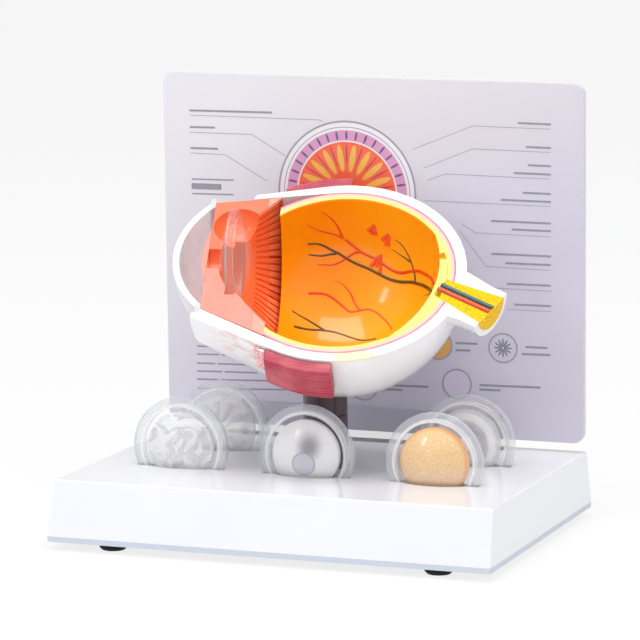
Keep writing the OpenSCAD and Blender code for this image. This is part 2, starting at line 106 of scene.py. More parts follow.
def ray(px, py):
    """Direction through a pixel of the 640 pixel photograph."""
    half = PICTURE / 2
    return (LOOK @ Vector(((px - half) / FOCAL_PX, (half - py) / FOCAL_PX, -1))).normalized()


def far_hit(px, py, centre, radius):
    """How far along a pixel's ray it leaves a ball."""
    direction = ray(px, py)
    along = (centre - CAMERA_AT).dot(direction)
    miss = (CAMERA_AT + direction * along - centre).length_squared
    return along + math.sqrt(max(radius**2 - miss, 0))


def in_bowl(px, py):
    """Point of the bowl's wall that a pixel shows: the nearer of the bowl and its thickening."""
    reach = min(far_hit(px, py, GLOBE, BOWL_R), far_hit(px, py, MOUND, MOUND_R))
    return CAMERA_AT + ray(px, py) * reach


def on_plane(px, py, point, normal):
    """Hit of a pixel's ray on a plane."""
    direction = ray(px, py)
    return CAMERA_AT + direction * ((point - CAMERA_AT).dot(normal) / direction.dot(normal))


print("lens %.0f mm" % camera_data.lens)

# %% [markdown]
# Shader maths reads best as Python. `Wire` wraps an output socket, so `a * 2 + b` adds the Math
# nodes, and `Finish` builds one material: `node` adds any node, settings first, then inputs. The
# other methods are short words for the nodes that this object needs again and again.
# %% A small shader language
class Wire:
    """An output socket that can be reckoned with."""

    def __init__(self, finish, socket):
        self.finish, self.socket = finish, socket

    def maths(self, operation, a, b=0.0):
        return self.finish.node("Math", {"operation": operation}, {0: a, 1: b})

    def __add__(self, other):
        return self.maths("ADD", self, other)

    def __sub__(self, other):
        return self.maths("SUBTRACT", self, other)

    def __rsub__(self, other):
        return self.maths("SUBTRACT", other, self)

    def __mul__(self, other):
        return self.maths("MULTIPLY", self, other)

    __radd__, __rmul__ = __add__, __mul__

    def power(self, exponent):
        return self.maths("POWER", self, exponent)

    def either(self, other):
        return self.maths("MAXIMUM", self, other)

    def unsigned(self):
        return self.maths("ABSOLUTE", self)

    def above(self, edge, soft):
        """0 below the edge, 1 above it, soft over that width."""
        return self.finish.node(
            "MapRange",
            {"interpolation_type": "SMOOTHSTEP"},
            {"Value": self, "From Min": edge - soft / 2, "From Max": edge + soft / 2},
        )


class Finish:
    """One material, its nodes added by name."""

    def __init__(self, name, **sockets):
        self.material = bpy.data.materials.new(name)
        self.material.use_nodes = True
        self.tree = self.material.node_tree
        self.shader = self.tree.nodes["Principled BSDF"]
        self.set_shader(**sockets)

    def set_shader(self, **sockets):
        self.set(self.shader, {key.replace("_", " "): value for key, value in sockets.items()})

    def set(self, node, inputs):
        for key, value in inputs.items():
            socket = node.inputs[key]
            if isinstance(value, Wire):
                self.tree.links.new(value.socket, socket)
            elif isinstance(value, (tuple, list)) and len(value) == 3 and socket.type == "RGBA":
                socket.default_value = (*value, 1)
            else:
                socket.default_value = value

    def node(self, kind, settings=None, inputs=None, out=0):
        node = self.tree.nodes.new("ShaderNode" + kind)
        for key, value in (settings or {}).items():
            setattr(node, key, value)
        self.set(node, inputs or {})
        return Wire(self, node.outputs[out])

    def place(self, matrix=None):
        """Object coordinates, seen from the frame that the matrix gives."""
        where = self.node("TexCoord", out="Object")
        if matrix is None:
            return where
        back = matrix.inverted()
        return self.node(
            "Mapping",
            {"vector_type": "POINT"},
            {"Vector": where, "Location": back.translation, "Rotation": back.to_euler()},
        )

    def axes(self, vector):
        node = self.tree.nodes.new("ShaderNodeSeparateXYZ")
        self.set(node, {0: vector})
        return [Wire(self, output) for output in node.outputs]

    def length(self, vector):
        return self.node("VectorMath", {"operation": "LENGTH"}, {0: vector}, out="Value")

    def across(self, x, y):
        """Distance from an axis."""
        return (x * x + y * y).power(0.5)

    def angle(self, y, x):
        return self.node("Math", {"operation": "ARCTAN2"}, {0: y, 1: x})

    def combined(self, x, y):
        return self.node("CombineXYZ", {}, {0: x, 1: y, 2: 0.0})

    def mix(self, mask, a, b):
        return self.node("Mix", {"data_type": "RGBA"}, {0: mask, 6: a, 7: b}, out=2)

    def noise(self, vector, scale, detail=3, roughness=0.5):
        return self.node(
            "TexNoise",
            {},
            {"Vector": vector, "Scale": scale, "Detail": detail, "Roughness": roughness},
        )

    def stretched(self, vector, factors):
        return self.node("VectorMath", {"operation": "MULTIPLY"}, {0: vector, 1: factors})

    def bump(self, height, depth, strength):
        return self.node(
            "Bump", {}, {"Height": height, "Distance": depth, "Strength": strength}, out="Normal"
        )

    def colour(self, colour, **sockets):
        self.set_shader(Base_Color=colour, **sockets)
        return self.material

    def lay_over(self, amount, under, over):
        """Mix two shaders by the amount and make that the surface."""
        mixer = self.tree.nodes.new("ShaderNodeMixShader")
        self.set(mixer, {0: amount})
        self.tree.links.new(under.outputs[0], mixer.inputs[1])
        self.tree.links.new(over.outputs[0], mixer.inputs[2])
        surface = self.tree.nodes["Material Output"].inputs["Surface"]
        self.tree.links.new(mixer.outputs[0], surface)
        return self.material


def srgb(code):
    """A colour written as six hex digits, as linear light."""
    values = [int(code[i : i + 2], 16) / 255 for i in (0, 2, 4)]
    return tuple(v / 12.92 if v <= 0.04045 else ((v + 0.055) / 1.055) ** 2.4 for v in values)


# %% [markdown]
# Small tools for pieces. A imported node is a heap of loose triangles, so a curved one gets a
# merged, smooth-shaded copy that stands in for it. `settle` is the last step for every piece: it
# names the piece, gives it its finish and makes it ride on the body that carries it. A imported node
# that is flat all over keeps its mesh and is only given a finish, by `dress`.
# %% Tools for pieces
MERGE, SEAM = 2e-6, 1e-6


def deselect():
    if bpy.context.object and bpy.context.object.mode != "OBJECT":
        bpy.ops.object.mode_set(mode="OBJECT")
    bpy.ops.object.select_all(action="DESELECT")


def choose(piece):
    deselect()
    piece.select_set(True)
    bpy.context.view_layer.objects.active = piece


def settle(piece, name, body, material, nodes=(), smooth=None):
    """Place, name and finish a piece, which then stands for its nodes and rides on its body."""
    choose(piece)
    bpy.ops.object.transform_apply(location=True, rotation=True, scale=True)
    piece.name = name
    piece.data.materials.clear()
    piece.data.materials.append(material)
    if smooth is not None:
        bpy.ops.object.shade_smooth_by_angle(angle=math.radians(smooth))
    if nodes:
        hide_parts(*nodes)
    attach(piece, body)
    return piece


def merged_copy(node):
    """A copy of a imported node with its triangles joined."""
    piece = NODES[node].copy()
    piece.data = NODES[node].data.copy()
    piece.parent = None
    for key in list(piece.keys()):
        del piece[key]
    bpy.context.scene.collection.objects.link(piece)
    choose(piece)
    bpy.ops.object.mode_set(mode="EDIT")
    bpy.ops.mesh.select_all(action="SELECT")
    bpy.ops.mesh.remove_doubles(threshold=MERGE)
    bpy.ops.object.mode_set(mode="OBJECT")
    bpy.ops.mesh.customdata_custom_splitnormals_clear()
    return piece


def smooth_node(node, body, material, angle=30):
    settle(merged_copy(node), node + "_dressed", body, material, [node], angle)


def joined(pieces):
    choose(pieces[0])
    for piece in pieces:
        piece.select_set(True)
    bpy.ops.object.join()
    return bpy.context.object


def dress(node, material):
    data = NODES[node].data
    data.materials.clear()
    data.materials.append(material)


# %% [markdown]
# The base is one glossy white moulding. Real glossy plastic is never dead flat: a faint waviness
# breaks the reflections and a thin coat gives the hard highlight along the edges. The plate under
# it is a cooler, duller grey, which shows as the thin band along the bottom edge; the plate is a
# real part, and its darker tone is painted shade along that edge.
# %% Base, plate, feet and screws
def moulding(name, colour, roughness, coat):
    finish = Finish(name, Coat_Weight=coat, Coat_Roughness=0.06, Specular_IOR_Level=0.5)
    where = finish.place()
    cloud = finish.noise(where, 30, 2)
    ripple = finish.noise(where, 260, 2)
    darker = tuple(c * 0.965 for c in colour)
    return finish.colour(
        finish.mix(cloud, darker, colour),
        Roughness=roughness + cloud * 0.06,
        Normal=finish.bump(ripple, 0.02 * MM, 0.2),
    )


white_gloss = moulding("white_gloss", srgb("F1F2F6"), 0.16, coat=0.4)
# Painted shade: the plate is a real part, and its cooler, darker grey stands in for the shade along
# the base's bottom edge.
plate_grey = moulding("plate_grey", srgb("D2DAE6"), 0.42, coat=0.0)
dress("base_shell", white_gloss)
dress("base_plate", plate_grey)


def rubber():
    finish = Finish("rubber")
    grain = finish.noise(finish.place(), 1800, 4)
    return finish.colour(
        finish.mix(grain, srgb("0B0B0C"), srgb("1C1C1E")),
        Roughness=0.7 + grain * 0.15,
        Normal=finish.bump(grain, 0.00004, 0.5),
    )


def brushed_steel():
    finish = Finish("brushed_steel", Metallic=1.0)
    lines = finish.noise(finish.stretched(finish.place(), (4000, 200, 200)), 1, 2)
    return finish.colour(
        finish.mix(lines, srgb("9A9DA3"), srgb("C6C9CE")), Roughness=0.28 + lines * 0.15
    )


black_rubber = rubber()
steel = brushed_steel()
for corner in ("front_left", "front_right", "rear_left", "rear_right"):
    smooth_node("foot_" + corner, "base", black_rubber)
dress("plate_screws", steel)

# %% [markdown]
# The post and the collar that turns on it are one dark brown-purple plastic, half gloss. The
# frame's turned shapes are right, so they only get smooth shading and a finish with faint moulding
# streaks that run up the post.
# %% Post and socket
def post_plastic():
    finish = Finish("post_plastic", Coat_Weight=0.3, Coat_Roughness=0.15)
    where = finish.place()
    streak = finish.noise(finish.stretched(where, (900, 900, 25)), 1, 3)
    return finish.colour(
        finish.mix(streak, srgb("2A1420"), srgb("4A2732")),
        Roughness=0.26 + streak * 0.14,
        Normal=finish.bump(streak, 0.00003, 0.4),
    )


dark_plastic = post_plastic()
smooth_node("post", "post", dark_plastic)
smooth_node("eye_socket", "eye", dark_plastic)

# %% [markdown]
# The coats of the globe are painted casts. One material per coat decides its colour from the
# place on the piece: close to the cut plane it is the cut face, elsewhere the skin. Distance from
# the globe's centre gives the thin painted line between two coats.
# %% The three coats
def from_cut(finish):
    """Place in the eye's frame, as a vector, as x and y, and as depth below the cut plane."""
    where = finish.place(EYE)
    x, y, z = finish.axes(where)
    return where, x, y, z * -1


def sclera_paint():
    finish = Finish("sclera_paint", Coat_Weight=0.5, Coat_Roughness=0.08)
    where, x, y, below = from_cut(finish)
    cloud = finish.noise(where, 45, 4)
    white = finish.mix(cloud, srgb("EFEDEC"), srgb("FBFAFA"))
    # pink wash where the near tendon runs forwards, yellow trace on the rim beside the muscle
    wash = finish.noise(finish.stretched(where, (60, 420, 420)), 1, 2).above(0.52, 0.2)
    near = (y * -1).above(24 * MM, 14 * MM) * (x * -1).above(25 * MM, 6 * MM)
    near = near * (1 - (x * -1).above(42 * MM, 10 * MM)) * (1 - below.above(14 * MM, 8 * MM))
    tinted = finish.mix(wash * near * 0.55, white, srgb("F4B3AE"))
    rim = (1 - below.above(0.8 * MM, 0.6 * MM)) * (y * -1).above(40 * MM, 2 * MM)
    stain = rim * x.above(1 * MM, 3 * MM) * (1 - x.above(16 * MM, 6 * MM))
    return finish.colour(
        finish.mix(stain * 0.5, tinted, srgb("F2DF6C")),
        Roughness=0.2 + cloud * 0.1,
        Normal=finish.bump(finish.noise(where, 160, 3), 0.00006, 0.35),
    )


def choroid_paint():
    finish = Finish("choroid_paint", Coat_Weight=0.4, Coat_Roughness=0.1)
    where = finish.place(EYE)
    wobble = (finish.noise(where, 180, 2) - 0.5) * (0.5 * MM)
    line = (finish.length(where) + wobble).above(40.75 * MM, 0.25 * MM)
    pink = finish.mix(finish.noise(where, 90, 3), srgb("F7B9BC"), srgb("FBD2D2"))
    return finish.colour(finish.mix(line * 0.8, pink, srgb("DB6A77")), Roughness=0.25)


def retina_paint():
    finish = Finish("retina_paint", Coat_Weight=0.5, Coat_Roughness=0.08, Specular_IOR_Level=0.2)
    where, x, y, below = from_cut(finish)
    cloud = finish.noise(where, 30, 4, 0.6)
    fine = finish.noise(where, 240, 3)
    orange = finish.mix(cloud, srgb("F59300"), srgb("FFA808"))
    # Painted light: towards the back of the bowl the orange is painted paler and yellower, as a pool
    # of light.
    orange_with_painted_light = finish.mix(x.above(4 * MM, 30 * MM) * 0.7, orange, srgb("FFBE1C"))
    edge = 1 - (below + fine * (0.8 * MM)).above(0.9 * MM, 1.2 * MM)
    yellow = finish.mix(fine, srgb("FFE560"), srgb("FFF2A0"))
    return finish.colour(
        finish.mix(edge, orange_with_painted_light, yellow),
        Roughness=0.22 + cloud * 0.1,
        Normal=finish.bump(cloud * 0.6 + fine * 0.2, 0.0002, 0.25),
    )


smooth_node("sclera", "eye", sclera_paint())
smooth_node("choroid", "eye", choroid_paint())
smooth_node("retina", "eye", retina_paint())

# %% [markdown]
# In front of the coats sits the salmon insert, and behind the lens the ridged ring. Below its cut
# face the insert is painted deep orange, which is painted shade for its hollow. The frame holds the
# grooves; paint pools in them, so a dark red wash follows the angle round the lens's axis.
# %% Insert and ridged ring
def insert_paint():
    finish = Finish("insert_paint", Coat_Weight=0.3, Coat_Roughness=0.1, Specular_IOR_Level=0.25)
    where, x, y, below = from_cut(finish)
    cloud = finish.noise(where, 60, 4)
    fine = finish.noise(where, 420, 3)
    salmon = finish.mix(cloud, srgb("FF8E7C"), srgb("FFA595"))
    spots = finish.noise(where, 700, 1).above(0.7, 0.06)
    salmon = finish.mix(spots * 0.35, salmon, srgb("E4604E"))
    # Painted shade with a painted orange reflection: the salmon turns deeper orange towards the far
    # side of the cut face.
    salmon = finish.mix(y.above(4 * MM, 12 * MM) * 0.75, salmon, srgb("FA7448"))
    # Painted shade: every face below the cut face is painted deep orange, the shade of the hollow.
    deep = finish.mix(cloud, srgb("F86A38"), srgb("FF8252"))
    inside = (below + fine * (0.2 * MM)).above(0.45 * MM, 0.4 * MM)
    return finish.colour(
        finish.mix(inside, salmon, deep),
        Roughness=0.3 + cloud * 0.1,
        Normal=finish.bump(fine, 0.0001, 0.3),
    )


def ridge_paint():
    finish = Finish("ridge_paint", Coat_Weight=0.3, Coat_Roughness=0.15, Specular_IOR_Level=0.3)
    where, x, y, below = from_cut(finish)
    along, side, deep = finish.axes(finish.place(PASSAGE))
    angle = finish.angle(side, deep * -1)
    streak = finish.noise(finish.combined(angle * 18, along * 40), 1.6, 3, 0.6)
    cloud = finish.noise(where, 80, 3)
    orange = finish.mix(cloud, srgb("FF8248"), srgb("FFA06C"))
    groove = (finish.across(side, deep) - along * PASSAGE_SLOPE).above(0.35 * MM, 0.4 * MM)
    dark = streak.above(0.58, 0.14) * 0.6 + groove * 0.5
    wash = finish.mix(dark, orange, srgb("CC3412"))
    wash = finish.mix(x.above(-26.4 * MM, 1.0 * MM) * 0.6, wash, srgb("D04820"))
    face = 1 - below.above(0.3 * MM, 0.3 * MM)
    rind = finish.mix(finish.noise(where, 160, 3), srgb("FF9A86"), srgb("FFB8A6"))
    return finish.colour(
        finish.mix(face, wash, rind), Roughness=0.34, Normal=finish.bump(streak, 0.0004, 0.4)
    )


smooth_node("iris_body", "eye", insert_paint(), 35)
smooth_node("ciliary_body", "eye", ridge_paint(), 35)

# %% [markdown]
# The nerve's yellow core is stippled with cell-like marks, which Voronoi edges give. The artery
# and the vein lie half sunk in its cut face.
# %% Nerve
def core_paint():
    finish = Finish("core_paint", Coat_Weight=0.05, Coat_Roughness=0.15, Specular_IOR_Level=0.1)
    where = finish.place()
    cells = finish.node(
        "TexVoronoi",
        {"feature": "DISTANCE_TO_EDGE"},
        {"Vector": where, "Scale": 900.0},
        out="Distance",
    )
    mark = 1 - cells.above(0.09, 0.1)
    fine = finish.noise(where, 500, 3)
    yellow = finish.mix(fine, srgb("FFC800"), srgb("FFDC14"))
    return finish.colour(
        finish.mix(mark * 0.55, yellow, srgb("D08A00")),
        Roughness=0.35,
        Normal=finish.bump(cells, 0.0002, 0.5),
    )


def vessel_paint(name, dark, light):
    finish = Finish(name, Coat_Weight=0.5, Coat_Roughness=0.12)
    cloud = finish.noise(finish.place(), 260, 3)
    return finish.colour(finish.mix(cloud, srgb(dark), srgb(light)), Roughness=0.28 + cloud * 0.1)


nerve_yellow = core_paint()
artery_red = vessel_paint("artery_red", "C9280F", "EF4A1C")
vein_teal = vessel_paint("vein_teal", "143F4C", "2C6F78")
smooth_node("nerve_core", "eye", nerve_yellow)
smooth_node("optic_disc", "eye", nerve_yellow)
smooth_node("nerve_artery", "eye", artery_red)
smooth_node("nerve_vein", "eye", vein_teal)

# %% [markdown]
# Turned pieces, such as the lenses and the cornea, are spun as a potter would. A plane is merged to
# one point, that point is extruded along half of the outline, and the outline is spun round Z. A
# matrix then carries the piece into place. Seams are merged and the faces turned outwards.
# %% Turning a profile
def arc(centre, radius, start, end, steps):
    """Points on an arc, angles in degrees, as (radius from the axis, height)."""
    angles = [math.radians(start + (end - start) * i / steps) for i in range(steps + 1)]
    return [(centre[0] + radius * math.cos(t), centre[1] + radius * math.sin(t)) for t in angles]


def turned(outline, steps=96, sweep=360):
    deselect()
    bpy.ops.mesh.primitive_plane_add(size=MM)
    piece = bpy.context.object
    bpy.ops.object.mode_set(mode="EDIT")
    bpy.ops.mesh.merge(type="CENTER")
    at = (0.0, 0.0)
    for number, point in enumerate(outline):
        step = ((point[0] - at[0]) * MM, 0, (point[1] - at[1]) * MM)
        if number:
            bpy.ops.mesh.extrude_vertices_move(TRANSFORM_OT_translate={"value": step})
        else:
            bpy.ops.transform.translate(value=step)
        at = point
    bpy.ops.mesh.select_all(action="SELECT")
    turn = math.radians(sweep)
    bpy.ops.mesh.spin(steps=steps, angle=turn, center=(0, 0, 0), axis=(0, 0, 1))
    bpy.ops.mesh.select_all(action="SELECT")
    bpy.ops.mesh.remove_doubles(threshold=SEAM)
    bpy.ops.mesh.normals_make_consistent(inside=False)
    bpy.ops.object.mode_set(mode="OBJECT")
    return piece


def half_turned(outline, steps, seat, way=0.0):
    """Half a turn of a closed outline below the cut plane, its cut faces filled.

    The outline's axis lies in the seat's cut plane, turned from its -X axis by an angle."""
    piece = turned(outline + outline[:1], steps, 180)
    bpy.ops.object.mode_set(mode="EDIT")
    bpy.ops.mesh.select_all(action="DESELECT")
    bpy.ops.mesh.select_mode(type="EDGE")
    bpy.ops.mesh.select_non_manifold()
    bpy.ops.mesh.edge_face_add()
    bpy.ops.mesh.select_mode(type="VERT")
    bpy.ops.mesh.select_all(action="SELECT")
    bpy.ops.mesh.normals_make_consistent(inside=False)
    bpy.ops.object.mode_set(mode="OBJECT")
    piece.matrix_world = (
        seat
        @ Matrix.Rotation(way, 4, "Z")
        @ Matrix.Rotation(math.radians(-90), 4, "Y")
        @ Matrix.Rotation(math.radians(-90), 4, "Z")
    )
    return piece


# %% [markdown]
# Round the nerve the yellow coat is thicker, and its face there is flatter than the bowl. The two
# faces of that swelling are parts of two balls, so it is half a turn about the line through their
# middles. A small ball cut out of it leaves the notch of the fovea.
# %% Swelling round the nerve
FOVEA_R, FOVEA_AT = 1.9 * MM, (36.4 * MM, 8.7 * MM)
INTO_COAT, COAT_STEPS = 0.25, 24


def swelling_outline():
    """The outer ball is sunk a little into the coat; heights grow against the mound's direction."""
    outer, inner = BOWL_R / MM + INTO_COAT, MOUND_R / MM
    back = (MOUND_R + MOUND_UP - BOWL_R) / MM
    meet = (outer**2 - inner**2 + back**2) / (2 * back)
    wide = math.degrees(math.acos(-meet / outer))
    narrow = math.degrees(math.asin(math.sqrt(outer**2 - meet**2) / inner))
    low = arc((0, 0), outer, -90, -90 + wide, COAT_STEPS)
    high = arc((0, back), inner, -90, -90 + narrow, COAT_STEPS)
    return [(max(r, 0), h) for r, h in low + high[::-1][1:]]


swelling = half_turned(swelling_outline(), 64, EYE, -MOUND_ANGLE)
choose(swelling)
bpy.ops.object.transform_apply(location=True, rotation=True, scale=True)
bpy.ops.mesh.primitive_uv_sphere_add(
    segments=32, ring_count=16, radius=FOVEA_R, location=EYE @ Vector((*FOVEA_AT, 0))
)
cutter = bpy.context.object
notch = swelling.modifiers.new("notch", "BOOLEAN")
notch.operation, notch.solver, notch.object = "DIFFERENCE", "EXACT", cutter
choose(swelling)
bpy.ops.object.modifier_apply(modifier=notch.name)
bpy.data.objects.remove(cutter)
settle(swelling, "bowl_swelling", "eye", bpy.data.materials["retina_paint"], smooth=35)
print("swelling", len(swelling.data.polygons), "faces")

# %% [markdown]
# The bowl's vessels are painted lines, raised a little by the thick paint. Each is a smooth curve
# through points listed as pixels of the photograph: a ray through the pixel finds the place on the
# bowl's wall, and a bevel gives the line its width, which tapers towards the tip. The curve is then
# made a mesh, so that its place can be applied.
# %% Vessels of the bowl
PAINT, SUNK = 0.56 * MM, 0.35


def painted_line(points, start, end):
    """A line over the bowl through pixels, its half-width tapering from start to end."""
    curve = bpy.data.curves.new("line", "CURVE")
    curve.dimensions = "3D"
    curve.bevel_depth = PAINT
    curve.bevel_resolution = 2
    curve.resolution_u = 5
    curve.use_fill_caps = True
    spline = curve.splines.new("BEZIER")
    spline.bezier_points.add(len(points) - 1)
    for number, (knot, (px, py)) in enumerate(zip(spline.bezier_points, points)):
        place = in_bowl(px, py)
        inwards = (GLOBE - place).normalized()
        knot.co = place - inwards * PAINT * SUNK
        knot.handle_left_type = knot.handle_right_type = "AUTO"
        knot.radius = start + (end - start) * number / (len(points) - 1)
    line = bpy.data.objects.new("line", curve)
    bpy.context.scene.collection.objects.link(line)
    choose(line)
    bpy.ops.object.convert(target="MESH")
    return bpy.context.object


def vessel_group(name, lines, material):
    pieces = [painted_line(points, start, end) for points, start, end in lines]
    piece = settle(joined(pieces), name, "eye", material, smooth=50)
    print(name, len(lines), "lines", len(piece.data.polygons), "faces")


RED_TRUNK = [(433.8, 283.9), (430.7, 277.8), (425.4, 274.2), (418.3, 271.1), (412.1, 271.1)]
RED_TRUNK += [(399.9, 272.7), (390.7, 269.1), (382.6, 263.5), (370.3, 256.3), (361, 251.8)]
RED_TRUNK += [(354, 246.3), (345.2, 239.4)]
RED_UP = [(343, 238), (342.2, 236.4), (338.2, 227.5), (333.3, 220.6), (326.4, 214.7)]
RED_UP += [(321.4, 212.2)]
RED_ON = [(343.2, 238.4), (336.3, 235), (322.4, 231.5), (313.5, 228), (306.6, 225)]
RED_DOWN = [(361, 251.8), (354, 253.2), (348.1, 257.2), (340.2, 262.1), (332.3, 264.9)]
RED_DOWN += [(324.4, 264.8), (317.5, 264.6)]
RED_LOW = [(308.6, 293.3), (318.5, 293.3), (326.4, 294.7), (334.3, 299.2), (342.2, 305.6)]
RED_LOW += [(350.1, 311.5), (360, 310.4), (367.9, 309.4), (373.4, 310.9), (379.5, 315)]
RED_LOW += [(385.6, 320.6), (389.7, 325.7), (391.9, 330)]
RED_TWIG = [(360, 310.1), (355, 303.6), (351.1, 294.7), (346.1, 287.8), (340.2, 282.9)]
RED_TWIG += [(333.3, 280.4)]
OLIVE_TRUNK = [(433.5, 293.5), (428.5, 288.5), (424.4, 286), (418.3, 283.9), (412.1, 282.3)]
OLIVE_TRUNK += [(399.9, 281.8), (388.7, 278.8), (379.5, 274.2), (368.3, 268.6), (354.1, 262.6)]
OLIVE_TRUNK += [(346.1, 258.2), (338.2, 253.2), (330.3, 249.3), (322.4, 245.3), (317.5, 243.9)]
OLIVE_TRUNK += [(307.6, 244.2)]
OLIVE_TWIG = [(336.3, 253.7), (330.3, 254.2), (322.4, 255.7), (315.5, 255.4), (308.6, 254.7)]
DARK_UP = [(415.2, 282.3), (415, 275.7), (413.2, 268.6), (410.6, 260.4), (406, 251.2)]
DARK_UP += [(400.9, 244.1), (395.8, 240.2)]
DARK_SIDE = [(410.6, 261.9), (404, 257.3), (397.9, 253.3), (391.2, 248.7)]
DARK_ROOT = [(430.5, 293), (426.4, 295.1), (422.3, 296.6), (416.7, 298.2)]
DARK_LOW = [(293.8, 326.4), (308.6, 329.5), (320.5, 330.3), (330.3, 331.3), (340.2, 333.8)]
DARK_LOW += [(350.1, 337.2), (361, 340.2), (368.3, 340), (376.4, 338.6)]
DARK_TWIG = [(324.4, 330.3), (316.5, 325.4), (306.6, 319.4), (298.7, 315), (291.8, 310.6)]

vessel_red = vessel_paint("vessel_red", "D93208", "F2540F")
vessel_olive = vessel_paint("vessel_olive", "3F3508", "6B5510")
reds = [(RED_TRUNK, 1.2, 0.95), (RED_UP, 1.0, 0.5), (RED_ON, 0.9, 0.5), (RED_DOWN, 1.0, 0.5)]
reds += [(RED_LOW, 1.0, 0.6), (RED_TWIG, 0.9, 0.4)]
olives = [(OLIVE_TRUNK, 1.3, 0.8), (OLIVE_TWIG, 1.0, 0.6), (DARK_UP, 0.9, 0.5)]
olives += [(DARK_SIDE, 0.8, 0.4), (DARK_ROOT, 0.6, 0.3), (DARK_LOW, 1.0, 0.7)]
olives += [(DARK_TWIG, 1.0, 0.6)]
vessel_group("bowl_arteries", reds, vessel_red)
vessel_group("bowl_veins", olives, vessel_olive)

# %% [markdown]
# Three tufts of short strokes mark small bleeds. The strokes of a tuft start at one place and
# grow broader, as a brush does when it is pressed down, so each is the same line, only shorter.
# %% Tufts
TUFTS = [
    ((374.4, 224.7), [(368.3, 230.8), (371.8, 233.9), (375.9, 234.9)]),
    ((388.2, 233.9), [(382, 240), (385.6, 245.1), (388.7, 246.1), (390.2, 239)]),
    ((381.7, 254.3), [(374.4, 259.4), (370.8, 266), (375.9, 266.5), (380, 272.7)]),
]
KNOT = 0.45
strokes = []
for top, ends in TUFTS:
    for end in ends:
        middle = tuple(a * (1 - KNOT) + b * KNOT for a, b in zip(top, end))
        strokes.append(([top, middle, end], 0.7, 1.5))
vessel_group("bowl_tufts", strokes, vessel_paint("tuft_red", "E8480A", "FF6A1C"))

# %% [markdown]
# Clear mouldings. A pane of clear plastic lets most light straight through and shows more of
# itself the more it is seen edge-on. So the finish mixes a see-through shader with a glossy,
# faintly blue one, by a mask that grows towards grazing angles. Light then reaches the painted
# cores inside, which a physical glass would leave in the dark at this number of samples.
# %% Clear plastic
def see_through(finish, colour, amount, roughness, normal):
    """Mix of a clear pass and a glossy surface by the amount."""
    finish.set_shader(Base_Color=colour, Roughness=roughness, Normal=normal)
    clear = finish.tree.nodes.new("ShaderNodeBsdfTransparent")
    return finish.lay_over(amount, clear, finish.shader)


def edge_on(finish):
    return finish.node("LayerWeight", {}, {"Blend": 0.5}, out="Facing")


def waves(finish, scale):
    """The faint waviness of a clear moulding."""
    return finish.bump(finish.noise(finish.place(), scale, 1), 0.04 * MM, 0.4)


def clear_sheet(name, tint, least, most):
    finish = Finish(name, Coat_Weight=0.6, Coat_Roughness=0.03)
    amount = edge_on(finish).power(2.2) * (most - least) + least
    return see_through(finish, srgb(tint), amount, 0.06, waves(finish, 150))


holder_clear = clear_sheet("holder_clear", "DDE0EA", 0.22, 0.8)
dress("card_holder", holder_clear)

# %% [markdown]
# A lens is a flat disc with a dome on each face, moulded hollow round its core. On the real ones a
# second thin line runs round the dome, where the rim steps down. Only the outside is turned here:
# the renderer counts every clear layer that it looks through, and with the hollow's own faces the
# lenses turned dark.
# %% Lens shells
LENS_R, FLANGE_HALF, DOME_R, RIM_ROUND, RIM_GROOVE = 18.0, 1.5, 13.8, 0.4, 0.3
LOW_DOME, HIGH_DOME = 3.9, 5.2
LENS_Z, LENS_DX, LENS_DY = 32.3, 48.3, 20.0


def cap(rise, radius, foot, steps):
    """Arc of a dome from its top down to its edge, which lies at the height of the foot."""
    ball = (radius**2 + rise**2) / (2 * rise)
    edge = math.degrees(math.acos(radius / ball))
    return [(max(r, 0), h) for r, h in arc((0, foot + rise - ball), ball, 90, edge, steps)]


def rim_step():
    """Step of the rim, a soft groove beside the dome, and the rounded outer edge."""
    h = FLANGE_HALF
    return [
        (DOME_R + 0.05, h),
        (DOME_R + 0.75, h),
        (DOME_R + 0.95, h - RIM_GROOVE),
        (DOME_R + 1.25, h - RIM_GROOVE),
        (DOME_R + 1.45, h),
    ] + arc((LENS_R - RIM_ROUND, h - RIM_ROUND), RIM_ROUND, 90, 0, 5)


def lens_shell(front, rear):
    upper = cap(front, DOME_R, FLANGE_HALF, 16) + rim_step()
    lower = cap(rear, DOME_R, FLANGE_HALF, 16) + rim_step()
    return turned(upper + [(r, -h) for r, h in reversed(lower)])


def standing(x, y):
    """Place of a lens that stands in the base, its front towards -Y."""
    place = Matrix.Translation(Vector((x, y, LENS_Z)) * MM)
    return place @ Matrix.Rotation(math.radians(90), 4, "X")


LENSES = {
    "a": (-LENS_DX, -LENS_DY, LOW_DOME, LOW_DOME),
    "b": (-LENS_DX + 1, LENS_DY, HIGH_DOME, LOW_DOME),
    "c": (0.0, -LENS_DY, HIGH_DOME, LOW_DOME),
    "d": (LENS_DX, -LENS_DY, HIGH_DOME, HIGH_DOME),
    "e": (LENS_DX - 0.5, LENS_DY, HIGH_DOME, LOW_DOME),
}
LENS_PLACES = {"lens_" + key: standing(x, y) for key, (x, y, front, rear) in LENSES.items()}
LENS_DOMES = {"lens_" + key: (front, rear) for key, (x, y, front, rear) in LENSES.items()}
LENS_IN, LENS_SHIFT = 9.8, 1.9
LENS_PLACES["eye_lens"] = (
    FRONT
    @ Matrix.Translation(Vector((LENS_IN, -LENS_SHIFT, 0)) * MM)
    @ Matrix.Rotation(math.radians(-90), 4, "Y")
)
LENS_DOMES["eye_lens"] = (LOW_DOME, HIGH_DOME)


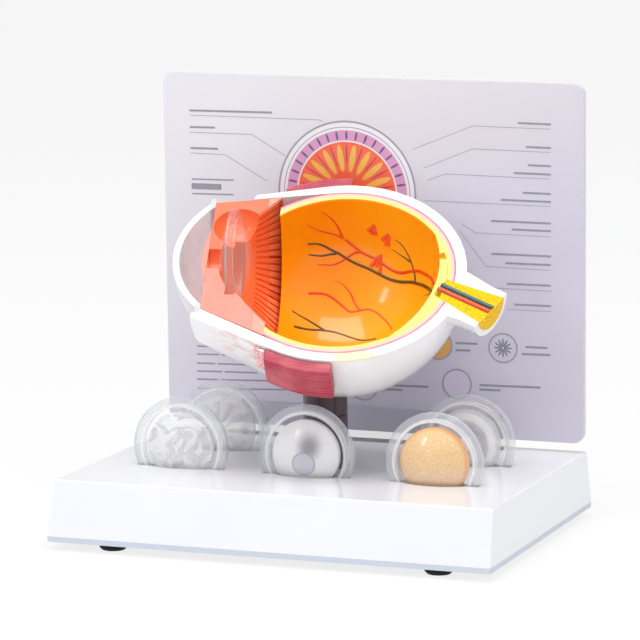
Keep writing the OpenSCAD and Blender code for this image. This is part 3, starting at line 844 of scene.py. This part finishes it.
def lens_clear(name, place, most):
    """Clear dome, pale rim, and a white line where the rim steps, which is a painted highlight."""
    finish = Finish(name, Coat_Weight=0.8, Coat_Roughness=0.03)
    x, y, z = finish.axes(finish.place(place))
    radius = finish.across(x, y)
    rim = radius.above((DOME_R + 0.6) * MM, 0.5 * MM)
    line = rim * (1 - radius.above((DOME_R + 1.7) * MM, 0.5 * MM))
    # Painted highlight: the groove where the rim steps is coloured white and made more solid, though
    # the plastic there is clear.
    colour = finish.mix(line, srgb("DFE2EA"), srgb("FFFFFF"))
    amount = edge_on(finish).power(2.5) * 0.6 + rim * 0.28 + line * 0.35 + 0.02
    return see_through(finish, colour, amount * most, 0.05, waves(finish, 160))


EYE_LENS_GLOSS = 0.32
for name, place in LENS_PLACES.items():
    shell = lens_shell(*LENS_DOMES[name])
    shell.matrix_world = place
    finish = lens_clear(name + "_clear", place, EYE_LENS_GLOSS if name == "eye_lens" else 1.0)
    settle(shell, name + "_shell", name, finish, [name + "_front", name + "_rear"], 25)
print("lens shells:", len(LENS_PLACES))

# %% [markdown]
# The cornea is half a dome with a flange, cut by the same plane as the globe, so it is half a turn
# of one closed outline. The two cut faces of the half are filled afterwards.
# %% Cornea
CORNEA_FLANGE_R, CORNEA_FLANGE, CORNEA_ROUND = 29.5, 1.8, 0.3
CORNEA_R, CORNEA_RISE, CORNEA_WALL = 27.0, 11.0, 2.4


def cornea_outline():
    ball = (CORNEA_R**2 + CORNEA_RISE**2) / (2 * CORNEA_RISE)
    centre = CORNEA_FLANGE + CORNEA_RISE - ball
    outer_edge = math.degrees(math.acos(CORNEA_R / ball))
    inner_ball = ball - CORNEA_WALL
    inner_edge = math.degrees(math.asin(-centre / inner_ball))
    outer = arc((0, centre), ball, 90, outer_edge, 20)
    rim = CORNEA_FLANGE_R - CORNEA_ROUND
    edge = arc((rim, CORNEA_FLANGE - CORNEA_ROUND), CORNEA_ROUND, 90, 0, 4)
    edge += arc((rim, CORNEA_ROUND), CORNEA_ROUND, 0, -90, 4)
    inner = arc((0, centre), inner_ball, inner_edge, 90, 20)
    return [(max(r, 0), h) for r, h in outer + edge + inner]


def cornea_paint():
    """Clear dome, white cut face, grey-blue flange."""
    finish = Finish("cornea_clear", Coat_Weight=0.6, Coat_Roughness=0.03)
    where, x, y, below = from_cut(finish)
    back, side, deep = finish.axes(finish.place(FRONT))
    face = 1 - below.above(0.12 * MM, 0.1 * MM)
    band = back.above(-2.0 * MM, 0.3 * MM)
    cloud = finish.noise(where, 120, 3)
    colour = finish.mix(cloud, srgb("F4F5F8"), srgb("FFFFFF"))
    colour = finish.mix(band, colour, srgb("D4D8E2"))
    amount = edge_on(finish).power(2.0) * 0.5 + face * 0.5 + band * 0.3 + cloud * 0.1 + 0.16
    return see_through(finish, colour, amount, 0.06, waves(finish, 150))


cornea = half_turned(cornea_outline(), 72, FRONT)
settle(cornea, "cornea_dome", "eye", cornea_paint(), ["cornea"], 25)

# %% [markdown]
# Behind the cornea the iris is a shallow painted dish on the insert's front face. From the camera
# it is little more than a thin edge, but seen from the front it makes the eye look back. Brown
# streaks run outwards from a black pupil, in polar form round the cornea's axis. The cut edge and
# the flat back are left in the insert's salmon.
# %% Iris
IRIS_R, IRIS_RISE, PUPIL_R = 13.0, 1.9, 7.0
IRIS_FOOT, IRIS_BACK = 0.1, 0.05


def iris_outline():
    return cap(IRIS_RISE, IRIS_R, IRIS_FOOT, 12) + [(IRIS_R, IRIS_BACK), (0, IRIS_BACK)]


def iris_paint():
    finish = Finish("iris_paint", Coat_Weight=0.8, Coat_Roughness=0.05)
    back, side, deep = finish.axes(finish.place(FRONT))
    radius = finish.across(side, deep)
    angle = finish.angle(side, deep)
    streak = finish.noise(finish.combined(angle * 22, radius * 260), 1.5, 4, 0.65)
    brown = finish.mix(streak, srgb("4A1E12"), srgb("A2603A"))
    brown = finish.mix(radius.above(11.6 * MM, 1.2 * MM), brown, srgb("38160F"))
    pupil = 1 - (radius + streak * (0.5 * MM)).above(PUPIL_R * MM, 0.5 * MM)
    front = deep.unsigned().above(0.5 * MM, 0.3 * MM)
    front = front * (back * -1).above(0.2 * MM, 0.1 * MM)
    painted = finish.mix(pupil, brown, srgb("050505"))
    return finish.colour(
        finish.mix(front, srgb("FF9A84"), painted),
        Roughness=0.25,
        Normal=finish.bump(streak, 0.0002, 0.5),
    )


settle(half_turned(iris_outline(), 64, FRONT), "iris_dish", "eye", iris_paint(), smooth=30)
print("iris: radius", IRIS_R, "pupil", PUPIL_R)

# %% [markdown]
# Each loose lens shows another clouding. The cores keep the frame's shape and carry a painted
# pattern in polar form round the lens's own axis: radius and angle come from the place on the
# piece. A mask makes the paint thin or thick, so some cores stay half clear.
# %% Lens cores
def core_frame(finish, name):
    """Place in the lens's frame, then x, y and radius in mm, and the angle round its axis."""
    where = finish.place(LENS_PLACES[name])
    x, y, z = finish.axes(where)
    radius = finish.across(x, y)
    return where, x * PER_MM, y * PER_MM, radius * PER_MM, finish.angle(y, x)


def ring(radius, inner, outer, soft=0.6):
    return radius.above(inner, soft) * (1 - radius.above(outer, soft))


def clouded_core():
    """Lens a: wavy white clouding with fine grey contours."""
    finish = Finish("clouded_core", Coat_Weight=0.3)
    where, x, y, radius, angle = core_frame(finish, "lens_a")
    bend = finish.node(
        "TexNoise", {}, {"Vector": where, "Scale": 90.0, "Distortion": 1.6, "Detail": 1.0}
    )
    cloud = bend.above(0.5, 0.03)
    contour = bend.above(0.49, 0.012) * (1 - bend.above(0.52, 0.012))
    fine = finish.noise(where, 500, 2)
    colour = finish.mix(cloud, srgb("F4F4F6"), srgb("FFFFFF"))
    colour = finish.mix(contour * 0.35, colour, srgb("C4C4CC"))
    amount = cloud * 0.35 + contour * 0.25 + fine * 0.1 + ring(radius, 11.4, 13) * 0.25 + 0.2
    return see_through(finish, colour, amount, 0.3, finish.bump(bend, 0.0006, 0.8))


def petal_core():
    """Lens b: grey petals between white spokes round a white middle."""
    finish = Finish("petal_core", Coat_Weight=0.3)
    where, x, y, radius, angle = core_frame(finish, "lens_b")
    fine = finish.noise(where, 260, 3)
    wave = finish.node("Math", {"operation": "SINE"}, {0: angle * 11 + fine * 3})
    reach = 8.6 + finish.noise(where, 120, 1) * 3
    petal = wave.above(-0.05, 0.5) * radius.above(3.6, 0.8)
    petal = petal * (1 - (radius - reach).above(0, 0.8))
    colour = finish.mix(petal, srgb("FFFFFF"), srgb("DEDDE3"))
    amount = 0.36 + fine * 0.15
    return see_through(finish, colour, amount, 0.32, finish.bump(wave, 0.0005, 0.5))


def silver_core():
    """Lens c: brushed silver with a painted shadow up and right of the middle, and a flat disc in
    the middle.
    """
    finish = Finish("silver_core", Coat_Weight=0.4, Coat_Roughness=0.1)
    where, x, y, radius, angle = core_frame(finish, "lens_c")
    brushed = finish.noise(finish.combined(angle * 9, radius * 0.12), 2.2, 3)
    # Painted shadow: a soft dark patch up and to the right of the middle.
    dx, dy = x - 2.6, y - 3.4
    painted_shadow = 1 - (dx * dx + dy * dy * 0.7).power(0.5).above(3.4, 5.2)
    silver = finish.mix(brushed, srgb("EDEDF0"), srgb("FFFFFF"))
    silver = finish.mix(painted_shadow * 0.75, silver, srgb("707076"))
    dx, dy = x - 0.6, y + 2.8
    spot = finish.across(dx, dy)
    disc = 1 - spot.above(4.1, 0.5)
    rim = ring(spot, 3.8, 4.4, 0.4)
    colour = finish.mix(disc * 0.9, silver, srgb("D9D8E2"))
    colour = finish.mix(rim * 0.45, colour, srgb("88888F"))
    colour = finish.mix(ring(radius, 11.6, 13.5, 0.8) * 0.6, colour, srgb("F4F4F6"))
    relief = finish.bump(brushed - disc, 0.0003, 0.6)
    return finish.colour(colour, Roughness=0.34 - disc * 0.1, Normal=relief)


def amber_core():
    """Lens d: peach amber, finely speckled, deeper towards its edge."""
    finish = Finish("amber_core", Coat_Weight=0.6, Coat_Roughness=0.08)
    where, x, y, radius, angle = core_frame(finish, "lens_d")
    cloud = finish.noise(where, 70, 3)
    speckle = finish.noise(where, 1500, 2)
    amber = finish.mix(cloud, srgb("EDC286"), srgb("F5D2A2"))
    # Painted reflection: below the middle the core is painted a pinker tone, a band reflected across
    # it.
    amber = finish.mix((1 - y.above(-3.0, 0.6)) * 0.6, amber, srgb("EFCBB0"))
    amber = finish.mix(speckle.above(0.62, 0.12) * 0.35, amber, srgb("FFF0D2"))
    amber = finish.mix((1 - speckle.above(0.4, 0.1)) * 0.3, amber, srgb("D89A58"))
    return finish.colour(
        finish.mix(radius.above(11.9, 1.4) * 0.8, amber, srgb("F2A957")),
        Roughness=0.3,
        Normal=finish.bump(speckle, 0.0001, 0.4),
    )


def crescent_core():
    """Lens e: half clear, a whitish ring, a grey crescent and a small jagged middle."""
    finish = Finish("crescent_core", Coat_Weight=0.4)
    where, x, y, radius, angle = core_frame(finish, "lens_e")
    fine = finish.noise(where, 240, 3)
    ragged = radius + (finish.noise(where, 420, 2) - 0.5) * 5
    side = (x * 0.8 + y * 0.6).above(-0.5, 3.0)
    crescent = ring(ragged, 3.2, 8.2, 0.8) * side
    middle = 1 - ragged.above(3.0, 0.6)
    colour = finish.mix(crescent, srgb("FCFCFD"), srgb("CCCAD5"))
    colour = finish.mix(middle, colour, srgb("FFFFFF"))
    amount = 0.5 + crescent * 0.3 + middle * 0.5 + ring(radius, 9.0, 11.5, 1.2) * 0.35
    return see_through(finish, colour, amount, 0.3, finish.bump(ragged, 0.00015, 0.5))


CORE_FINISHES = {
    "a": clouded_core(),
    "b": petal_core(),
    "c": silver_core(),
    "d": amber_core(),
    "e": crescent_core(),
}
for letter, finish in CORE_FINISHES.items():
    smooth_node("lens_%s_core" % letter, "lens_" + letter, finish)
smooth_node("eye_lens_core", "eye_lens", clear_sheet("eye_core_clear", "FFF0EA", 0.04, 0.22))

# %% [markdown]
# The eye muscles are cast with coarse fibres that run forwards along the globe. The frame's solid
# is remeshed to even faces, and every vertex is sunk by a groove: round the eye's axis on the
# broad face, and by layers on the edge and the end, as a bundle of fibres shows when it is cut. In
# the photograph the casts lie a little further forwards and up, so they are turned round the
# globe's centre by the two small angles below.
# %% Muscles
def fibre_paint():
    finish = Finish("fibre_paint", Coat_Weight=0.2, Coat_Roughness=0.1, Specular_IOR_Level=0.3)
    where = finish.place(EYE)
    streak = finish.noise(finish.stretched(where, (60, 1100, 1100)), 1, 3)
    patch = finish.noise(where, 70, 2)
    red = finish.mix(streak, srgb("8E1632"), srgb("D04058"))
    red = finish.mix(patch.above(0.6, 0.3) * 0.4, red, srgb("EE8A8E"))
    return finish.colour(
        red, Roughness=0.28 + streak * 0.14, Normal=finish.bump(streak, 0.0003, 0.6)
    )


def tendon_paint():
    finish = Finish("tendon_paint", Coat_Weight=0.4, Coat_Roughness=0.12)
    where = finish.place(EYE)
    streak = finish.noise(finish.stretched(where, (80, 1500, 1500)), 1, 3)
    return finish.colour(
        finish.mix(streak.above(0.5, 0.2), srgb("F48C90"), srgb("FBE3E0")),
        Roughness=0.3,
        Normal=finish.bump(streak, 0.0003, 0.7),
    )


FIBRE_PITCH, FIBRE_DEPTH, FIBRE_VOXEL = 1.75 * MM, 0.42 * MM, 0.34 * MM
LAYER_PITCH = FIBRE_PITCH * 0.75
FORWARDS, UPWARDS = math.radians(2.0), math.radians(1.0)


def fibrous(node, material, depth):
    """A remeshed copy of a node with grooves sunk along the eye's X axis."""
    into_eye = EYE.inverted()
    piece = merged_copy(node)
    hand = 1 if node.startswith("near") else -1
    nudge = Matrix.Rotation(-FORWARDS * hand, 4, "Z") @ Matrix.Rotation(-UPWARDS * hand, 4, "X")
    piece.data.transform(EYE @ nudge @ into_eye)
    remesh = piece.modifiers.new("even", "REMESH")
    remesh.mode, remesh.voxel_size = "VOXEL", FIBRE_VOXEL
    bpy.ops.object.modifier_apply(modifier=remesh.name)
    turn = EYE.to_3x3().transposed()
    mesh = piece.data
    moves = []
    for vertex in mesh.vertices:
        at = into_eye @ vertex.co
        normal = turn @ vertex.normal
        across = math.atan2(-at.z, abs(at.y)) * GLOBE_R
        layer = at.length - GLOBE_R
        broad = max(0.0, normal.dot(at.normalized())) ** 2
        by_width = abs(math.sin(math.pi * across / FIBRE_PITCH))
        by_layer = abs(math.sin(math.pi * layer / LAYER_PITCH))
        ridge = broad * by_width**0.6 + (1 - broad) * (0.5 * by_width + 0.5 * by_layer) ** 0.8
        moves.append(vertex.co - vertex.normal * depth * (1 - ridge))
    for vertex, place in zip(mesh.vertices, moves):
        vertex.co = place
    mesh.update()
    return settle(piece, node + "_fibres", "eye", material, [node], 70)


fibre = fibre_paint()
tendon = tendon_paint()
for side in ("near", "far"):
    muscle = fibrous(side + "_muscle", fibre, FIBRE_DEPTH)
    print(muscle.name, len(muscle.data.polygons), "faces")
    fibrous(side + "_tendon", tendon, FIBRE_DEPTH / 2)

# %% [markdown]
# The card is printed in soft lilac, paler towards the upper left. Its print is thin ink: ruled
# bars with leader lines that point into the globe. All of it is laid out in the card's own plane,
# found from the axis that the card slides along, and every stroke is a flat plate a hair above it.
# %% Card
SLOPE = Vector(JOINTS["card_lift"]["axis"]).normalized()
OUTWARDS = Vector((1, 0, 0)).cross(SLOPE)
CARD_T, INK, LAYER = 3.0 * MM, 0.02 * MM, 0.03 * MM
low, high = (Vector(corner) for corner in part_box("card"))
CARD_TOP = Vector((0, low.y, high.z + CARD_T * OUTWARDS.z))
CARD_AXES = Matrix((Vector((1, 0, 0)), SLOPE, OUTWARDS)).transposed()
CARD = Matrix.Translation(CARD_TOP) @ CARD_AXES.to_4x4()


def card_print():
    finish = Finish("card_print", Coat_Weight=0.25, Coat_Roughness=0.2)
    x, y, z = finish.axes(finish.place(CARD))
    cloud = finish.noise(finish.place(), 16, 2)
    grain = finish.noise(finish.place(), 900, 2)
    slant = (x * 0.6 - y * 0.9 + cloud * (12 * MM)).above(45 * MM, 160 * MM)
    lilac = finish.mix(slant, srgb("EAE9EF"), srgb("D3CDDD"))
    return finish.colour(
        finish.mix(grain * 0.12, lilac, srgb("F4F2F8")),
        Roughness=0.3 + grain * 0.08,
        Normal=finish.bump(grain, 0.00001, 0.3),
    )


def on_card(px, py):
    place = CARD.inverted() @ on_plane(px, py, CARD_TOP, OUTWARDS)
    return place.x, place.y


def bar(start, end, width):
    """A ruled bar between two pixels of the photograph, its width in millimetres."""
    (x0, y0), (x1, y1) = on_card(*start), on_card(*end)
    bpy.ops.mesh.primitive_plane_add(
        size=1,
        location=((x0 + x1) / 2, (y0 + y1) / 2, LAYER),
        rotation=(0, 0, math.atan2(y1 - y0, x1 - x0)),
    )
    piece = bpy.context.object
    piece.scale = (math.hypot(x1 - x0, y1 - y0) + width * MM * 0.5, width * MM, 1)
    bpy.ops.object.transform_apply(location=True, rotation=True, scale=True)
    return piece


def disc(centre, radius, layer, steps=64):
    """A flat disc, its centre in pixels and its radius in millimetres."""
    x, y = on_card(*centre)
    bpy.ops.mesh.primitive_circle_add(
        vertices=steps, radius=radius * MM, fill_type="NGON", location=(x, y, layer * LAYER)
    )
    bpy.ops.object.transform_apply(location=True, rotation=True, scale=True)
    return bpy.context.object


def band(centre, outer, inner, layer, steps=64):
    """A flat ring: a disc, inset, its middle taken out."""
    piece = disc(centre, outer, layer, steps)
    bpy.ops.object.mode_set(mode="EDIT")
    bpy.ops.mesh.select_all(action="SELECT")
    bpy.ops.mesh.inset(thickness=(outer - inner) * MM)
    bpy.ops.mesh.delete(type="FACE")
    bpy.ops.object.mode_set(mode="OBJECT")
    return piece


def inked(name, pieces, code):
    """Join strokes of one colour, give them the ink's thickness and lay them on the card."""
    piece = joined(pieces)
    thick = piece.modifiers.new("ink", "SOLIDIFY")
    thick.thickness, thick.offset = INK, 1
    bpy.ops.object.modifier_apply(modifier=thick.name)
    piece.matrix_world = CARD
    finish = Finish(name + "_ink", Coat_Weight=0.2, Coat_Roughness=0.2)
    cloud = finish.noise(finish.place(), 300, 2)
    colour = srgb(code)
    pale = tuple(c + (1 - c) * 0.12 for c in colour)
    finish.colour(finish.mix(cloud, colour, pale), Roughness=0.32 + cloud * 0.06)
    settle(piece, name, "card", finish.material)


dress("card", card_print())

# %% [markdown]
# Short bars and thin leader lines of two or three stretches. On the right they end in a column, on
# the left they start in one, and rows of broken bars run below. Places are pixels of the
# photograph, and widths are millimetres on the card.
# %% Bars and leader lines
RIGHT_EDGE = 550.4
LEFT_BARS = [((189.9, 110.4), (271.5, 112.6), 1.0), ((190.3, 127), (214.5, 127.6), 1.0)]
LEFT_BARS += [((191, 148), (217.6, 148.8), 1.0), ((192.4, 179), (233.5, 180.2), 0.7)]
LEFT_BARS += [((192.6, 193.5), (233.5, 194.7), 0.7), ((193, 186), (220, 187), 3.0)]
RIGHT_BARS = [(518.4, 123), (526.3, 147), (528.3, 165.2), (514.2, 173), (523.1, 192.8)]
RIGHT_BARS += [(501.3, 199.8), (491.6, 220.9), (512.2, 229.5), (491.9, 253.8), (505.9, 263.1)]
RIGHT_BARS += [(507.2, 283.8), (514.7, 304.5)]
LEADERS = [
    [(190.4, 115.1), (319.3, 119.9), (322.8, 121.6)],
    [(190.1, 132.2), (252, 134.4), (285, 155.8)],
    [(190.9, 152.9), (224.9, 154.7), (267.4, 181.2)],
    [(550.2, 129.2), (472.8, 125.9), (412.7, 149.4)],
    [(550.2, 152.5), (472.8, 148.8), (423.6, 168.1)],
    [(549.8, 179.1), (445.5, 173.9), (427.2, 180.3)],
    [(550.9, 206.6), (424.4, 200.6)],
    [(550.5, 237), (475.2, 232.7), (461.1, 223.3)],
    [(550.9, 270.5), (486.1, 266.3), (459.5, 230.6)],
    [(550.9, 291.3), (479, 287), (464.2, 265.5)],
    [(551.4, 311.6), (507.2, 309.2)],
]
ROWS = [(346, 228), (354, 232), (363, 250), (371, 257), (379, 272), (388, 300)]
MARK_BARS = [((456, 343), (477, 343.8)), ((456, 350), (470, 350.6)), ((526, 347), (547, 348))]
MARK_BARS += [((522, 354), (550, 355)), ((384, 385), (428, 386.8)), ((382, 389), (402, 390))]
MARK_BARS += [((480, 385), (540, 387.6)), ((480, 389.5), (500, 390.4))]

BAR_W, ROW_W, MARK_W, LEADER_W = 0.75, 0.6, 0.8, 0.24
BAR_FALL = 0.045
ROW_START, ROW_BREAK, ROW_GAP = 197.5, 212, 3
strokes = [bar(start, end, width * BAR_W) for start, end, width in LEFT_BARS]
for px, py in RIGHT_BARS:
    end = (RIGHT_EDGE, py + (RIGHT_EDGE - px) * BAR_FALL)
    strokes.append(bar((px, py), end, BAR_W))
for row, (py, end) in enumerate(ROWS):
    middle = ROW_BREAK + (row * 7) % 11
    strokes.append(bar((ROW_START, py), (middle, py + 0.6), ROW_W))
    strokes.append(bar((middle + ROW_GAP, py + 0.7), (end, py + 1.8), ROW_W))
strokes += [bar(start, end, MARK_W) for start, end in MARK_BARS]
inked("caption_bars", strokes, "8E8E9F")
lines = [bar(a, b, LEADER_W) for leader in LEADERS for a, b in zip(leader, leader[1:])]
inked("leader_lines", lines, "A0A0AF")
print("bars", len(strokes), "lines", len(lines))

# %% [markdown]
# Behind the globe the card has a plain ornament: rings, a ring of petals and a fan of rays. Below
# it are four round marks: amber, a grey star, lilac and an empty ring.
# %% Ornament and round marks
MIDDLE = (347, 193)


def petal(centre, inner, outer, angle, width, layer):
    """A long oval that points outwards from the centre."""
    x, y = on_card(*centre)
    bpy.ops.mesh.primitive_circle_add(vertices=16, radius=1, fill_type="NGON")
    piece = bpy.context.object
    reach = (inner + outer) / 2 * MM
    piece.scale = ((outer - inner) / 2 * MM, width / 2 * MM, 1)
    piece.rotation_euler = (0, 0, angle)
    piece.location = (x + reach * math.cos(angle), y + reach * math.sin(angle), layer * LAYER)
    bpy.ops.object.transform_apply(location=True, rotation=True, scale=True)
    return piece


def wreath(centre, inner, outer, count, width, layer, phase=0.0):
    turn = 2 * math.pi / count
    return [petal(centre, inner, outer, turn * (i + phase), width, layer) for i in range(count)]


inked("ornament_ground", [disc(MIDDLE, 26.6, 1, 96)], "F3F1F7")
outlines = [band(MIDDLE, 27.2, 26.5, 2, 96), band(MIDDLE, 24.9, 24.6, 2, 96)]
inked("ornament_outline", outlines, "9A9AAC")
inked("ornament_pink", [band(MIDDLE, 23.6, 19.8, 2, 96)], "DD98C6")
inked("ornament_purple", wreath(MIDDLE, 19.9, 23.5, 36, 0.9, 3), "5B4C7C")
inked("ornament_red", [disc(MIDDLE, 19.2, 2, 96)], "FF5A1C")
inked("ornament_yellow", wreath(MIDDLE, 8.0, 18.4, 18, 2.3, 3), "F8BC34")
inked("ornament_rays", wreath(MIDDLE, 11.0, 18.8, 18, 0.5, 4, 0.5), "B32A3C")
inked("mark_amber", [disc((438, 345), 5.2, 2)], "E3A84C")
inked("mark_lilac", [disc((457, 384), 5.3, 2)], "D6CDE2")
inked("mark_star", wreath((503, 348), 0.4, 3.6, 12, 0.7, 2), "7E7E92")
marks = [band((438, 345), 5.7, 5.1, 3), band((503, 348), 5.7, 5.1, 3)]
marks += [band((457, 384), 5.8, 5.2, 3), band((364, 386), 5.6, 5.0, 3)]
inked("mark_rings", marks, "9C9CAE")

# %% [markdown]
# The studio: a pale floor that also glows a little where it is seen, a white surrounding, and
# three soft lights. A small key from the upper left makes the highlights, a weak fill comes from
# the right, and a broad one overhead lights the top of the base and the bowl.
# %% Studio
FLOOR_GLOW, WORLD_POWER = 0.82, 0.64
SEEN_BY = ("Camera", "Transmission", "Glossy")


def floor_paint():
    """Pale matt, brighter in the camera's eye than for the light that it throws back."""
    finish = Finish("floor_paint", Roughness=0.9)
    finish.colour(srgb("E8E8EA"))
    glow = finish.tree.nodes.new("ShaderNodeEmission")
    rays = [finish.node("LightPath", out="Is %s Ray" % kind) for kind in SEEN_BY]
    seen = rays[0].either(rays[1]).either(rays[2])
    return finish.lay_over(seen * FLOOR_GLOW, finish.shader, glow)


def surroundings():
    """White to the camera and through clear plastic, weaker as a light."""
    world = bpy.data.worlds.new("studio")
    bpy.context.scene.world = world
    world.use_nodes = True
    tree = world.node_tree
    back = tree.nodes["Background"]
    path = tree.nodes.new("ShaderNodeLightPath")
    seen = tree.nodes.new("ShaderNodeMath")
    seen.operation = "MAXIMUM"
    tree.links.new(path.outputs["Is Camera Ray"], seen.inputs[0])
    tree.links.new(path.outputs["Is Transmission Ray"], seen.inputs[1])
    power = tree.nodes.new("ShaderNodeMapRange")
    power.inputs["To Min"].default_value = WORLD_POWER
    power.inputs["To Max"].default_value = 1.0
    tree.links.new(seen.outputs[0], power.inputs["Value"])
    tree.links.new(power.outputs[0], back.inputs["Strength"])
    back.inputs["Color"].default_value = (1, 1, 1, 1)


def soft_light(name, at, size, watts):
    data = bpy.data.lights.new(name, "AREA")
    data.shape = "RECTANGLE"
    data.size, data.size_y = size
    data.energy = watts
    light = bpy.data.objects.new(name, data)
    bpy.context.scene.collection.objects.link(light)
    light.location = at
    light.rotation_euler = (GLOBE - Vector(at)).to_track_quat("-Z", "Y").to_euler()


deselect()
bpy.ops.mesh.primitive_plane_add(size=12, location=(0, 2, 0))
floor = bpy.context.object
floor.name = "floor"
floor.data.materials.append(floor_paint())
surroundings()
soft_light("key", (-0.85, -1.15, 0.88), (0.18, 0.42), 2.4)
soft_light("fill", (1.2, -0.7, 1.0), (1.0, 1.2), 1.0)
soft_light("top", (0.1, -0.25, 1.3), (0.9, 0.7), 11.5)
bpy.context.scene.view_settings.view_transform = "Standard"
